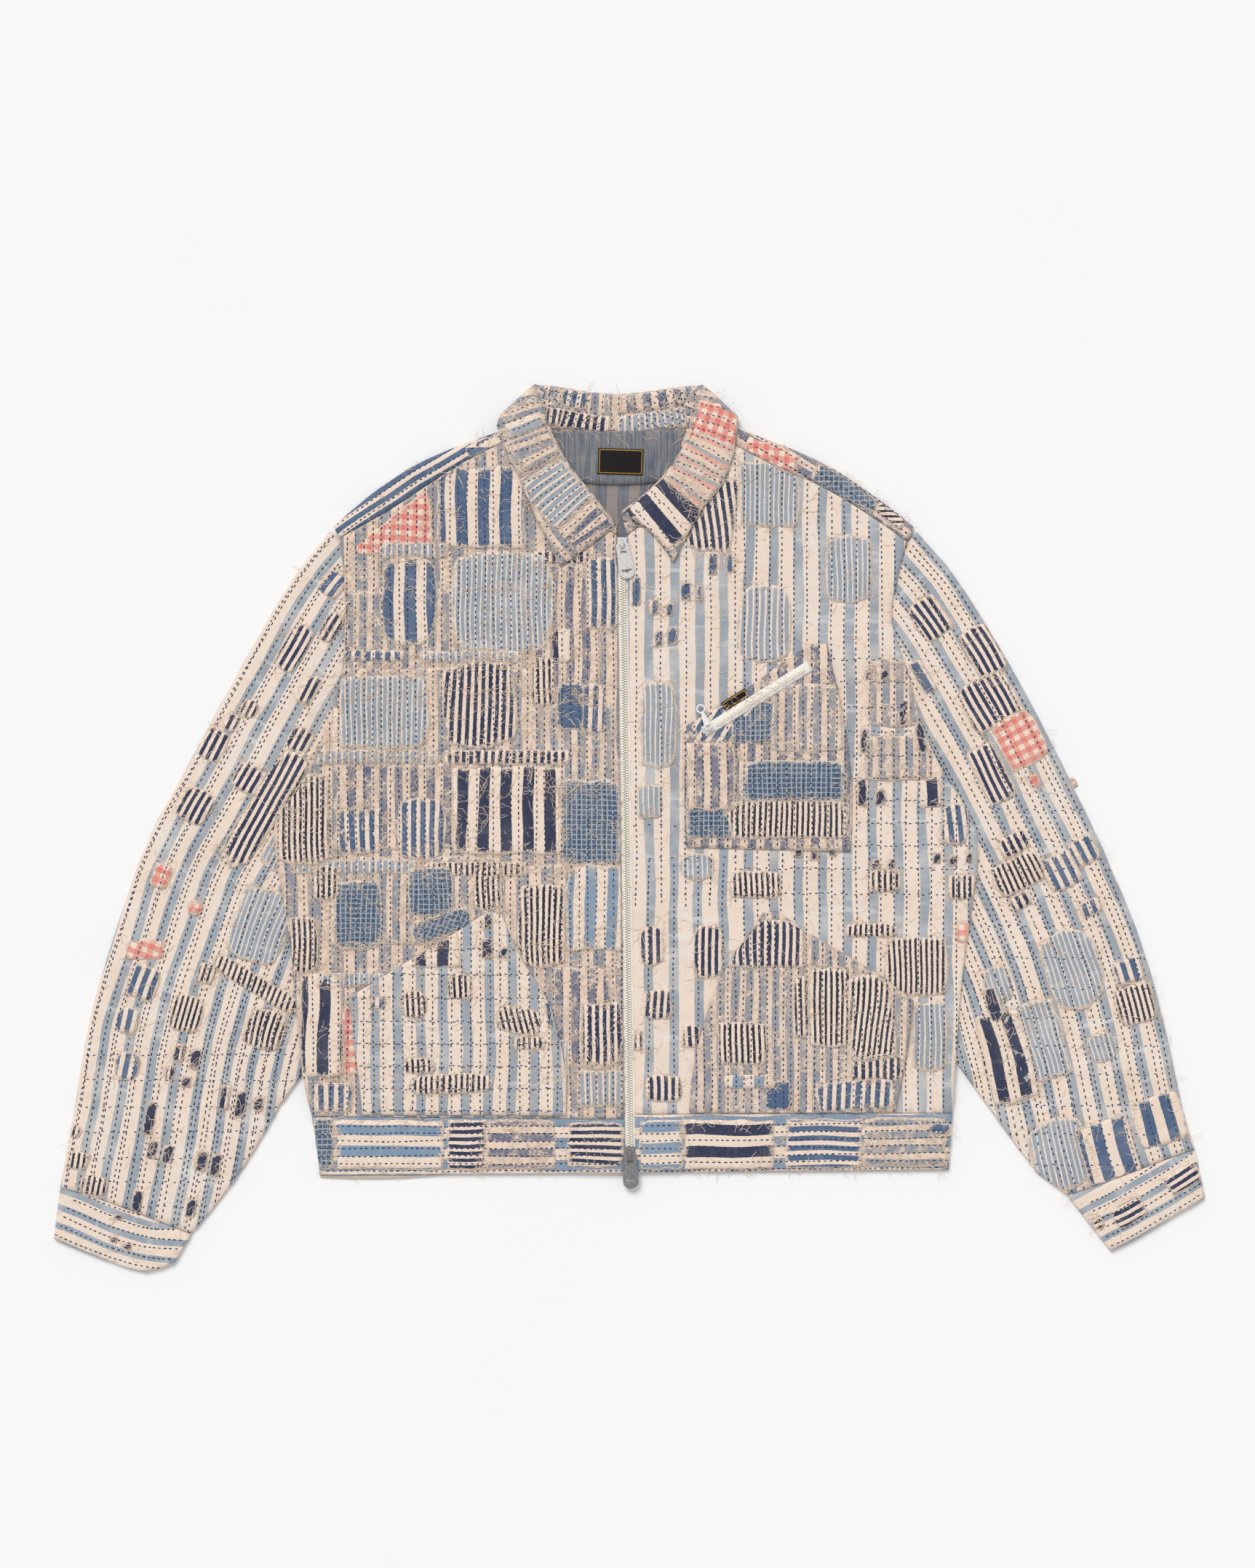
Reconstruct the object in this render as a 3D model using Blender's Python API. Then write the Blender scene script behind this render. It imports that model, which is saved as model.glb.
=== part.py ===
# Patched jacket laid flat and face up: thin closed walls of cloth, a two-way front zip and a pocket zip.
# Tables and sizes are in millimetres, and MM turns them into the scene's metres.
# X runs to the wearer's left, Y to the collar, Z up; the jacket lies on z = 0. Right and left are the wearer's.

import math

import bmesh
import bpy
from mathutils import Vector
from mathutils.bvhtree import BVHTree
from mathutils.geometry import tessellate_polygon

MM = 0.001

# Cloth and the gaps between pieces
WALL = 1.8
COLLAR_WALL = 2.2
BAND_WALL = 2.4
BACK_BAND_WALL = 2.2
POCKET_WALL = 1.6
FACING_WALL = 1.2
LABEL_WALL = 0.8
CUFF_WALL = 2.1
GAP = 0.3
SEAM = 0.4
EDGE_ROUND = 1.5
LARGEST_HOLLOW = 3.7
# How far round a point its support is felt, so that a stiff span clears what lies under it
PANEL_REACH = 27.0
BAND_REACH = 25.0
COLLAR_REACH = 20.0
STAND_REACH = 14.0
STRIP_REACH = 10.0
SLIDER_REACH = 6.0

# Sleeves and cuffs lie as flattened tubes
TUBE_HEIGHT = 4.4
SLEEVE_PUFF = 2.2
CUFF_HEIGHT = 5.2
SLEEVE_RINGS = 16
SLEEVE_SPANS = 8
CUFF_RINGS = 3

# The back panel rises over the collar's fall, which lies under it
NECK_MIDDLE_X = -10.0
FALL_LIFT = 2.6
SHOULDER_PUFF = 1.0

# Front zip: a line of two points, with tapes, chain, sliders and pulls
ZIP_TOP = (-6.5, 257.4)
ZIP_BOTTOM = (0.6, -289.7)
TAPE_Z = 2.7
TAPE_WALL = 0.8
TAPE_WIDTH = 13.6
TAPE_SPLIT = 0.4
TAPE_ENDS = (256.0, -300.0)
CHAIN_WIDTH = 5.2
CHAIN_WALL = 1.8
FRONT_TO_ZIP = 4.6
SLIDER_LENGTH = 12.0
SLIDER_WIDTH = 8.2
SLIDER_WALL = 3.0
SLIDER_TOP_Y = 249.5
SLIDER_BOTTOM_Y = -289.7
ARCH_LENGTH = 7.0
ARCH_WIDTH = 2.2
ARCH_WINDOW = 3.6
ARCH_WINDOW_HEIGHT = 2.2
ARCH_BAR = 1.0
PULL_WALL = 1.3
# Along the pull from its hinge and half the width there
PULL_HALF_WIDTHS = ((-0.65, 4.6), (-0.1, 5.4), (2.0, 5.7), (24.0, 6.9), (27.5, 6.3), (30.0, 3.6), (30.8, 0.9))
# Corners of the hole round the slider's arch, then the half-moon hole's middle, length and width
PULL_EYE = ((0.65, -2.6), (0.65, 2.6), (8.2, 2.6), (8.2, -2.6))
PULL_MOON = (22.6, 5.4, 9.4)
MOON_POINTS = 10
PULL_DROP = 0.5
ARCH_SUNK = 0.5
TOP_PULL_TIP = (-1.3, 220.8)
BOTTOM_PULL_TIP = (1.6, -325.0)

# Pocket zip
POCKET_ZIP_START = (65.8, 83.2)
POCKET_ZIP_END = (159.4, 141.9)
POCKET_TAPE_WIDTH = 10.0
POCKET_TAPE_WALL = 0.6
POCKET_CHAIN_WIDTH = 3.4
POCKET_CHAIN_WALL = 1.3
POCKET_SLIDER_ALONG = 5.5
POCKET_SLIDER_SIZE = (8.0, 6.2, 2.0)
# Window, window height, bar, width and length of the pocket slider's arch
POCKET_ARCH = (2.8, 1.8, 0.7, 1.5, 5.0)
POCKET_RING_CENTRE = (63.0, 104.0)
POCKET_RING_RADIUS = 4.1
POCKET_RING_WIRE = 1.3
POCKET_PULL_WALL = 1.0
POCKET_PULL_DROP = 2.2
RING_MOUTH = 20.0
# The ring's bail: half width, length and back of its plate, then the hole round the slider's arch
POCKET_BAIL = (3.0, 4.6, -0.5)
POCKET_EYE = ((0.5, -2.0), (0.5, 2.0), (3.6, 2.0), (3.6, -2.0))

# Labels: middle x, middle y, length, height, turn in degrees
NECK_LABEL = (-7.7, 322.6, 40.0, 23.0, -2.0)
POCKET_LABEL = (93.6, 112.2, 25.0, 8.0, 32.1)

# Fronts. The neck rows run from the neck point down the shoulder seam and the neck seam:
# outer x, outer y, inner x, inner y
NECK_RIGHT = (
    (-106.0, 342.0, -99.0, 340.0),
    (-145.0, 323.0, -84.0, 320.0),
    (-177.0, 303.0, -64.0, 301.0),
    (-215.0, 278.0, -44.0, 279.0),
    (-256.0, 255.0, -11.1, 257.0),
)
NECK_LEFT = (
    (92.0, 338.0, 78.0, 340.0),
    (126.0, 320.0, 60.0, 320.0),
    (168.0, 302.0, 42.0, 299.0),
    (210.0, 277.0, 23.0, 277.0),
    (245.0, 252.0, -1.9, 257.0),
)
# The side rows run down the armhole and the side seam: outer x, outer y, and y at the zip
SIDE_RIGHT = (
    (-252.0, 215.0, 216.0), (-251.6, 170.0, 170.0), (-254.0, 134.0, 132.0), (-266.0, 94.0, 90.0),
    (-283.0, 48.0, 48.0), (-311.0, 11.0, 10.0), (-313.0, -20.0, -24.0), (-306.0, -64.0, -64.0),
    (-299.0, -112.0, -112.0), (-294.0, -168.0, -168.0), (-289.0, -221.0, -221.0), (-281.0, -257.0, -259.0),
)
SIDE_LEFT = (
    (236.0, 214.0, 216.0), (232.0, 180.0, 176.0), (247.0, 136.0, 134.0), (257.0, 94.0, 90.0),
    (276.0, 50.0, 50.0), (301.0, 11.0, 11.0), (309.0, -20.0, -20.0), (304.0, -64.0, -64.0),
    (297.0, -110.0, -110.0), (291.0, -168.0, -168.0), (288.0, -222.0, -222.0), (286.0, -254.0, -255.0),
)
FRONT_STEPS = 2
FRONT_COLUMNS = (0.0, 0.055, 0.12, 0.21, 0.32, 0.43, 0.54, 0.65, 0.76, 0.87, 0.945, 1.0)
NECK_ROWS = 4

# Shoulder line beside the first five rows of each front: x, y
SHOULDER_RIGHT = ((-108.0, 352.0), (-159.0, 334.0), (-200.0, 314.5), (-232.0, 291.5), (-262.0, 265.5))
SHOULDER_LEFT = ((95.0, 352.5), (142.0, 335.0), (184.0, 315.0), (220.0, 290.5), (252.0, 265.0))
YOKE_BACK_DEPTHS = (6.0, 13.0, 16.0, 16.0, 9.0)

# Sleeves: armhole end, outer edge, inner edge and cuff seam, each a list of x, y from one corner to the next.
# The inner edge starts at the lower armhole, where the underarm lies pressed flat.
SLEEVE_RIGHT = {
    "armhole": ((-265.0, 261.5), (-247.0, 243.0), (-242.0, 210.0), (-241.6, 170.0), (-244.5, 132.0),
                (-250.0, 112.0)),
    "outer": ((-265.0, 261.5), (-300.0, 217.0), (-345.0, 139.0), (-386.5, 62.0), (-428.0, -15.5),
              (-455.0, -93.0), (-478.0, -170.0), (-491.0, -248.0), (-504.0, -320.0)),
    "inner": ((-250.0, 112.0), (-257.0, 92.0), (-273.0, 48.0), (-294.0, 10.0), (-293.0, -40.0),
              (-288.0, -110.0), (-282.0, -170.0), (-286.0, -212.0), (-310.0, -248.0), (-332.0, -286.5),
              (-358.0, -325.0), (-388.0, -361.0)),
    "cuff": ((-504.0, -320.0), (-474.0, -328.5), (-442.0, -340.0), (-414.0, -351.0), (-388.0, -361.0)),
}
SLEEVE_LEFT = {
    "armhole": ((255.0, 260.5), (236.0, 238.0), (227.0, 206.0), (224.0, 176.0), (234.0, 140.0),
                (242.0, 114.0)),
    "outer": ((255.0, 260.5), (292.0, 217.0), (339.5, 139.0), (380.0, 62.0), (417.5, -15.5),
              (450.0, -93.0), (473.0, -170.0), (489.0, -246.0), (501.0, -286.0)),
    "inner": ((242.0, 114.0), (248.0, 92.0), (266.0, 50.0), (288.0, 10.0), (292.0, -40.0),
              (287.0, -100.0), (280.0, -160.0), (282.0, -196.0), (303.0, -228.0), (331.5, -267.0),
              (360.0, -306.0), (388.0, -327.0)),
    "cuff": ((501.0, -286.0), (474.0, -295.5), (444.0, -307.0), (414.0, -318.0), (388.0, -327.0)),
}
CUFF_RIGHT_END = ((-510.0, -365.2), (-482.0, -377.0), (-455.0, -387.0), (-428.0, -394.5), (-402.0, -386.0))
CUFF_LEFT_END = ((510.0, -328.4), (489.0, -341.0), (467.0, -354.0), (447.0, -366.0), (426.0, -376.0))

# Back rows below the armpits follow the sleeves' hidden edges; these are the last ones, down to the band
BACK_LOW_ROWS = ((-283.0, -226.0, 282.0, -224.0), (-280.6, -257.5, 285.6, -254.5))
BACK_SIDE_RINGS = 9
BACK_TOP_SPLITS = 5

# Hem band ends: top outer, top inner, bottom outer, bottom inner
BAND_RIGHT = ((-281.0, -257.4), (-4.4, -259.4), (-273.5, -308.4), (-3.9, -307.0))
BAND_LEFT = ((286.0, -254.4), (4.8, -255.4), (282.6, -303.9), (5.4, -306.2))
BAND_BACK = ((-280.6, -257.9), (285.6, -254.9), (-274.0, -309.0), (282.6, -304.6))
BACK_BAND_SAG = 4.0
BACK_BAND_SAG_SPAN = (-285.0, -165.0)

# Pockets, a row for each level: outer or inner x, y and the other end's x, y
HAND_POCKET_RIGHT = (
    (-125.0, -75.5, -113.0, -78.5), (-152.0, -93.0, -104.0, -99.0), (-184.0, -112.0, -94.0, -120.0),
    (-216.0, -132.0, -79.0, -142.0), (-247.5, -151.0, -69.0, -161.0), (-244.0, -186.0, -61.0, -190.0),
    (-239.0, -222.0, -55.5, -222.0), (-236.0, -255.5, -56.0, -256.0),
)
HAND_POCKET_LEFT = (
    (130.0, -75.0, 118.0, -77.0), (160.0, -95.0, 106.0, -95.0), (192.0, -114.0, 91.0, -114.0),
    (224.0, -133.0, 79.0, -138.0), (251.0, -154.0, 70.0, -161.0), (247.0, -190.0, 61.0, -193.0),
    (241.0, -223.0, 55.0, -225.0), (235.0, -253.0, 53.0, -253.5),
)
CHEST_POCKET = (
    (175.0, 161.5, 159.0, 161.0), (179.5, 140.0, 129.0, 140.0), (185.0, 119.0, 100.0, 119.0),
    (189.0, 97.0, 71.0, 101.5), (193.0, 72.0, 47.0, 86.5), (196.5, 42.0, 48.0, 49.0),
    (197.0, 10.0, 49.0, 14.0), (195.5, -22.6, 50.0, -18.5),
)
POCKET_SPANS = 7

# Neck facing, a row for each level: right x, y and left x, y
NECK_FACING = (
    (-74.0, 348.8, 60.0, 350.0), (-71.0, 334.0, 54.0, 335.0), (-62.0, 319.0, 47.0, 320.0),
    (-52.0, 305.0, 37.0, 306.0),
)
FACING_SPANS = 7
FACING_DIP = 3.0

# Collar, a row for each section: seam x, y, crease x, y, edge x, y, height of the stand at the crease.
# The leaf rows stand beside the first five rows of a front; their seams are that front's neck edge.
LEAF_RIGHT = (
    (-78.5, 376.0, -117.4, 354.0, 7.6),
    (-66.5, 345.0, -108.5, 331.0, 7.6),
    (-52.5, 319.0, -98.0, 308.0, 7.2),
    (-32.5, 294.5, -84.0, 276.0, 6.2),
    (-11.6, 267.0, -61.3, 229.7, 4.6),
)
LEAF_LEFT = (
    (60.5, 374.0, 95.0, 352.0, 7.6),
    (50.3, 344.5, 93.0, 331.0, 7.6),
    (37.5, 320.0, 82.0, 301.0, 7.2),
    (17.5, 297.5, 64.5, 281.0, 6.2),
    (-7.7, 278.7, 38.7, 233.5, 4.6),
)
# The leaf's front edge bows by this much at its middle
LEAF_BOWS = (-1.0, 5.0)
# Fold at each side of the neck: seam x, y, crease x, y, edge x, y
NECK_FOLD_RIGHT = (-101.0, 347.5, -83.5, 391.5, -113.0, 364.0)
NECK_FOLD_LEFT = (81.5, 349.5, 64.5, 391.0, 95.5, 362.0)
NECK_FOLD_Z = 5.5
# Back of the collar, from the right fold to the left one: seam x, y, crease x, y, edge x, y
COLLAR_BACK = (
    (-92.0, 350.3, -79.5, 390.6, -97.0, 357.0),
    (-66.0, 352.5, -64.0, 389.6, -70.0, 340.0),
    (-40.0, 351.5, -37.0, 385.0, -41.0, 334.5),
    (-10.0, 350.5, -8.0, 382.8, -10.0, 332.5),
    (20.0, 351.5, 22.0, 386.0, 21.0, 334.5),
    (46.0, 353.0, 47.0, 389.6, 49.0, 340.0),
    (73.0, 350.6, 61.5, 390.3, 81.0, 357.0),
)
# The leaf's fall rises this much above its stand, and its seam lies this far off the front's
LEAF_RISE = 3.1
LEAF_SEAM = 0.5
NECK_CENTRE = (-10.0, 320.0)
STAND_CLIMB = 6.0
STAND_SHARES = (0.0, 0.33, 0.66)
FALL_SHARES = (0.4, 0.6, 0.8, 1.0)
FALL_DESCENT = (0.55, 1.0)
# The fold's tip follows the stand's points and the one beside the crease
TIP_INDEX = 4
BACK_STAND_Z = 4.6
BACK_SEAM_Z = 3.7
BACK_FALL_Z = 1.15
# Sections beside each fold lie this far towards it, and this much nearer to its height
FOLD_SIDE_STATION = 0.7
FOLD_SIDE_DROP = 0.2
# By turn in degrees, how far from the crease the legs part there
FOLD_NEARS = {40.0: 6.0, 90.0: 12.0, 140.0: 6.0}
FOLD_TIP_SHARE = 0.8

# Soft ridges in the cloth: from x, y, to x, y, half width, height
FRONT_FOLDS = (
    (-236.0, 150.0, -214.0, 62.0, 17.0, 1.7),
    (-262.0, 60.0, -190.0, 78.0, 16.0, 1.3),
    (-120.0, 40.0, -160.0, -60.0, 20.0, 1.0),
    (-44.0, -150.0, -30.0, -246.0, 16.0, 1.5),
    (-120.0, 240.0, -60.0, 120.0, 22.0, 1.0),
    (214.0, 150.0, 226.0, 40.0, 17.0, 1.6),
    (86.0, 250.0, 70.0, 190.0, 20.0, 0.8),
    (244.0, -40.0, 262.0, -150.0, 17.0, 1.1),
    (34.0, -60.0, 40.0, -190.0, 16.0, 1.1),
)
SLEEVE_FOLDS = (
    (-300.0, 160.0, -292.0, 60.0, 22.0, 1.2),
    (-330.0, 30.0, -420.0, -60.0, 20.0, 1.3),
    (-330.0, -160.0, -440.0, -120.0, 20.0, 1.3),
    (-350.0, -240.0, -470.0, -250.0, 20.0, 1.2),
    (296.0, 160.0, 286.0, 60.0, 22.0, 1.2),
    (330.0, 40.0, 410.0, -50.0, 20.0, 1.3),
    (330.0, -140.0, 430.0, -110.0, 20.0, 1.3),
    (350.0, -220.0, 460.0, -230.0, 20.0, 1.2),
)

# Colour, roughness, metallic
FINISHES = {
    "patched_cloth": ((0.60, 0.58, 0.57), 0.9, 0.0),
    "band_cloth": ((0.52, 0.53, 0.56), 0.9, 0.0),
    "pocket_cloth": ((0.66, 0.62, 0.58), 0.9, 0.0),
    "facing_cloth": ((0.25, 0.29, 0.33), 0.9, 0.0),
    "woven_label": ((0.02, 0.02, 0.02), 0.7, 0.0),
    "zip_tape": ((0.80, 0.78, 0.72), 0.9, 0.0),
    "light_metal": ((0.72, 0.71, 0.68), 0.35, 1.0),
    "dark_metal": ((0.30, 0.30, 0.30), 0.4, 1.0),
}

DOWN = Vector((0.0, 0.0, -1.0))
BOX_FACES = ((0, 1, 2, 3), (4, 5, 6, 7), (0, 1, 5, 4), (1, 2, 6, 5), (2, 3, 7, 6), (3, 0, 4, 7))
trees = {}


def clear_scene():
    for thing in list(bpy.data.objects):
        bpy.data.objects.remove(thing, do_unlink=True)


def make_material(name):
    colour, roughness, metallic = FINISHES[name]
    material = bpy.data.materials.new(name)
    material.use_nodes = True
    shader = material.node_tree.nodes["Principled BSDF"]
    shader.inputs["Base Color"].default_value = (*colour, 1.0)
    shader.inputs["Roughness"].default_value = roughness
    shader.inputs["Metallic"].default_value = metallic
    return material


def add_solid(name, points, faces, finish):
    # One closed mesh from points in millimetres; its surface is kept for what lies on it.
    work = bmesh.new()
    corners = [work.verts.new((x * MM, y * MM, z * MM)) for x, y, z in points]
    for face in faces:
        work.faces.new([corners[index] for index in face])
    bmesh.ops.recalc_face_normals(work, faces=work.faces)
    mesh = bpy.data.meshes.new(name)
    work.to_mesh(mesh)
    trees[name] = BVHTree.FromBMesh(work)
    work.free()
    mesh.materials.append(make_material(finish))
    thing = bpy.data.objects.new(name, mesh)
    bpy.context.collection.objects.link(thing)
    return thing


def add_shell(name, outer, inner, finish, wrapped=False):
    # A wall between two grids of points; wrapped grids close round their rows, like a tube.
    rows = len(outer)
    columns = len(outer[0])
    half = rows * columns
    points = [point for row in outer for point in row] + [point for row in inner for point in row]
    faces = []

    def add_quad(a, b, c, d):
        faces.append((a, b, c))
        faces.append((a, c, d))

    def add_edge_quad(a, b, c, d):
        # The wall's edges turn sharply in places, so each is split along its shorter diagonal
        if math.dist(points[a], points[c]) <= math.dist(points[b], points[d]):
            add_quad(a, b, c, d)
        else:
            add_quad(b, c, d, a)

    spans = columns if wrapped else columns - 1
    for row in range(rows - 1):
        for column in range(spans):
            a = row * columns + column
            b = row * columns + (column + 1) % columns
            add_quad(a, b, b + columns, a + columns)
            add_quad(half + a, half + a + columns, half + b + columns, half + b)
    for start in (0, (rows - 1) * columns):
        for column in range(spans):
            a = start + column
            b = start + (column + 1) % columns
            add_quad(a, b, half + b, half + a)
    if not wrapped:
        for start in (0, columns - 1):
            for row in range(rows - 1):
                a = start + row * columns
                b = a + columns
                add_edge_quad(a, b, half + b, half + a)
    return add_solid(name, points, faces, finish)


def add_panel(name, grid, wall, finish):
    # A sheet from a grid of x, y and underside z.
    upper = [[(x, y, z + wall) for x, y, z in row] for row in grid]
    return add_shell(name, upper, grid, finish)


def mix(a, b, share):
    return tuple(first + (second - first) * share for first, second in zip(a, b))


def smooth_step(value, low, high):
    share = min(max((value - low) / (high - low), 0.0), 1.0)
    return share * share * (3.0 - 2.0 * share)


def curve_value(before, start, end, after, t):
    # Catmull-Rom curve through start and end
    return 0.5 * (2.0 * start + (end - before) * t + (2.0 * before - 5.0 * start + 4.0 * end - after) * t ** 2
                  + (3.0 * start - before - 3.0 * end + after) * t ** 3)


def refine(rows, steps):
    # Smooth rows through a table's rows, steps of them for each gap.
    last = len(rows) - 1
    result = []
    for index in range(last):
        group = (rows[max(index - 1, 0)], rows[index], rows[index + 1], rows[min(index + 2, last)])
        for step in range(steps):
            result.append(tuple(curve_value(*values, step / steps) for values in zip(*group)))
    result.append(tuple(rows[last]))
    return result


def spread(points, count):
    # Points at equal distances along the smooth curve through a list.
    fine = refine(points, 12)
    lengths = [0.0]
    for start, end in zip(fine, fine[1:]):
        lengths.append(lengths[-1] + math.dist(start, end))
    result = []
    index = 0
    for step in range(count):
        target = lengths[-1] * step / (count - 1)
        while index < len(fine) - 2 and lengths[index + 1] < target:
            index += 1
        share = (target - lengths[index]) / (lengths[index + 1] - lengths[index])
        result.append(mix(fine[index], fine[index + 1], share))
    return result


def toward(start, end, distance):
    # The point at a distance from start on the way to end.
    return mix(start, end, distance / math.dist(start, end))


def top_at(names, x, y):
    # The highest surface of the named pieces at x, y.
    highest = 0.0
    origin = Vector((x * MM, y * MM, 1.0))
    for name in names:
        hit = trees[name].ray_cast(origin, DOWN)[0]
        if hit is not None:
            highest = max(highest, hit.z / MM)
    return highest


def rest_on(names, x, y, reach):
    # The height just clear of the named pieces within reach of x, y.
    highest = top_at(names, x, y)
    for ring, spokes in ((0.5, 6), (1.0, 12)):
        for spoke in range(spokes):
            angle = 2.0 * math.pi * spoke / spokes
            there = (x + reach * ring * math.cos(angle), y + reach * ring * math.sin(angle))
            highest = max(highest, top_at(names, *there))
    return highest + GAP


def fold_height(folds, x, y):
    # Rounded ridges, each fading across its width and past its ends.
    total = 0.0
    for x0, y0, x1, y1, half_width, height in folds:
        along = ((x - x0) * (x1 - x0) + (y - y0) * (y1 - y0)) / ((x1 - x0) ** 2 + (y1 - y0) ** 2)
        along = min(max(along, 0.0), 1.0)
        distance = math.dist((x, y), (x0 + (x1 - x0) * along, y0 + (y1 - y0) * along))
        total += height * math.exp(-(distance / half_width) ** 2)
    return total


def zip_x(y):
    return mix(ZIP_TOP, ZIP_BOTTOM, (ZIP_TOP[1] - y) / (ZIP_TOP[1] - ZIP_BOTTOM[1]))[0]


def back_lift(x, y):
    # How far the back panel rises over the collar's fall.
    across = 1.0 - smooth_step(abs(x - NECK_MIDDLE_X), 100.0, 130.0)
    return FALL_LIFT * across * smooth_step(y, 282.0, 312.0)


def coons(start, end, side_a, side_b, rows, columns):
    # A grid filling four curves: start and end cross it, side_a and side_b run down it.
    first = spread(start, columns)
    last = spread(end, columns)
    left = spread(side_a, rows)
    right = spread(side_b, rows)
    grid = []
    for row in range(rows):
        v = row / (rows - 1)
        line = []
        for column in range(columns):
            u = column / (columns - 1)
            sides = mix(left[row], right[row], u)
            ends = mix(first[column], last[column], v)
            corners = mix(mix(first[0], first[-1], u), mix(last[0], last[-1], u), v)
            line.append(tuple(s + e - c for s, e, c in zip(sides, ends, corners)))
        grid.append(line)
    return grid


def tube_rings(line, heights, wall):
    # Outer and inner ring of a flattened tube across a line of plan points, with rounded sides.
    last = len(line) - 1
    outer = []
    inner = []

    def add(points, inward, height):
        outer.append((*points, height))
        inner.append((*points, inward))

    def add_side(end, following, height):
        # Below, beside and above one side of the tube, in the order of travel given by the caller.
        inset = toward(end, following, EDGE_ROUND)
        inner_inset = toward(end, following, wall + EDGE_ROUND * 0.5)
        middle = toward(end, following, wall)
        return (
            ((*inset, 0.0), (*inner_inset, wall)),
            ((*end, height / 2), (*middle, height / 2)),
            ((*inset, height), (*inner_inset, height - wall)),
        )

    near = add_side(line[0], line[1], heights[0])
    far = add_side(line[last], line[last - 1], heights[last])
    for outside, inside in (near[1], near[0]):
        outer.append(outside)
        inner.append(inside)
    for index in range(1, last):
        add(line[index], wall, 0.0)
    for outside, inside in far:
        outer.append(outside)
        inner.append(inside)
    for index in range(last - 1, 0, -1):
        add(line[index], heights[index] - wall, heights[index])
    outer.append(near[2][0])
    inner.append(near[2][1])
    return outer, inner


def add_tube(name, grid, height_at, wall, finish):
    rings = [tube_rings(line, [height_at(row, column) for column in range(len(line))], wall)
             for row, line in enumerate(grid)]
    return add_shell(name, [ring[0] for ring in rings], [ring[1] for ring in rings], finish, wrapped=True)


def add_sleeve(name, edges):
    grid = coons(edges["armhole"], edges["cuff"], edges["outer"], edges["inner"], SLEEVE_RINGS, SLEEVE_SPANS + 1)

    def height_at(row, column):
        across = math.sin(math.pi * column / SLEEVE_SPANS) ** 0.7 if 0 < column < SLEEVE_SPANS else 0.0
        along = smooth_step(row, 0.0, 2.5) * smooth_step(SLEEVE_RINGS - 1 - row, 0.0, 2.0)
        x, y = grid[row][column]
        puff = SLEEVE_PUFF * across * (0.75 + 0.25 * math.cos(row * 1.3))
        ridge = fold_height(SLEEVE_FOLDS, x, y) * across
        return min(TUBE_HEIGHT + (puff + ridge) * along, 2 * WALL + LARGEST_HOLLOW)

    add_tube(name, grid, height_at, WALL, "patched_cloth")
    return grid


def add_cuff(name, sleeve, end):
    seam = sleeve[-1]
    far = spread(end, SLEEVE_SPANS + 1)
    start = [toward(near, there, SEAM) for near, there in zip(seam, far)]
    grid = [[mix(a, b, row / CUFF_RINGS) for a, b in zip(start, far)] for row in range(CUFF_RINGS + 1)]
    add_tube(name, grid, lambda row, column: CUFF_HEIGHT, CUFF_WALL, "band_cloth")


def beside(line, distance, middle_x):
    # A line parallel to another, on the side of the jacket's middle.
    result = []
    for index, point in enumerate(line):
        before = line[max(index - 1, 0)]
        after = line[min(index + 1, len(line) - 1)]
        sides = []
        for start, end in ((before, point), (point, after)):
            if start != end:
                length = math.dist(start, end)
                across = ((end[1] - start[1]) / length, (start[0] - end[0]) / length)
                sign = 1.0 if across[0] * (middle_x - point[0]) > 0 else -1.0
                sides.append((across[0] * sign, across[1] * sign))
        x = sum(side[0] for side in sides) / len(sides)
        y = sum(side[1] for side in sides) / len(sides)
        square = x * x + y * y
        result.append((point[0] + x / square * distance, point[1] + y / square * distance))
    return result


def back_side(sleeve, middle_x):
    # The back's edge beside a sleeve: round its armhole end, then down its hidden inner edge.
    inner = [row[-1] for row in sleeve[1:]]
    line = beside(sleeve[0] + inner, SEAM, middle_x)
    return line[1:len(sleeve[0]) + BACK_SIDE_RINGS]


def yoke_line(front, shoulder):
    # Seam, shoulder and back seam points of a yoke, from the neck to the armhole.
    table = [(*shoulder[index], YOKE_BACK_DEPTHS[index]) for index in range(NECK_ROWS + 1)]
    result = []
    for row, (x, y, depth) in zip(front, refine(table, FRONT_STEPS)):
        seam = row[:2]
        edge = (x, y)
        result.append((toward(seam, edge, SEAM), edge, toward(edge, seam, depth)))
    return result


def add_back(right_sleeve, left_sleeve, right_yoke, left_yoke):
    top = [toward(back, edge, -SEAM) for _, edge, back in reversed(right_yoke)]
    top += [(x, y - SEAM) for x, y, *_ in COLLAR_BACK]
    top += [toward(back, edge, -SEAM) for _, edge, back in left_yoke]
    width = top[-1][0] - top[0][0]
    shares = [(x - top[0][0]) / width for x, _ in top]
    right = back_side(right_sleeve, NECK_MIDDLE_X) + [row[:2] for row in BACK_LOW_ROWS]
    left = back_side(left_sleeve, NECK_MIDDLE_X) + [row[2:] for row in BACK_LOW_ROWS]
    lines = [[mix(a, b, share) for share in shares] for a, b in zip(right, left)]
    upper = [[mix(a, b, row / BACK_TOP_SPLITS) for a, b in zip(top, lines[0])] for row in range(BACK_TOP_SPLITS)]
    grid = [[(x, y, back_lift(x, y)) for x, y in line] for line in upper + lines]
    add_panel("back_panel", grid, WALL, "patched_cloth")


def add_tape(name, side):
    rows = []
    for y in spread([(TAPE_ENDS[0],), (TAPE_ENDS[1],)], 5):
        middle = zip_x(y[0])
        rows.append([(middle + side * TAPE_SPLIT, y[0], TAPE_Z), (middle + side * TAPE_WIDTH, y[0], TAPE_Z)])
    add_panel(name, rows, TAPE_WALL, "zip_tape")


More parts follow.
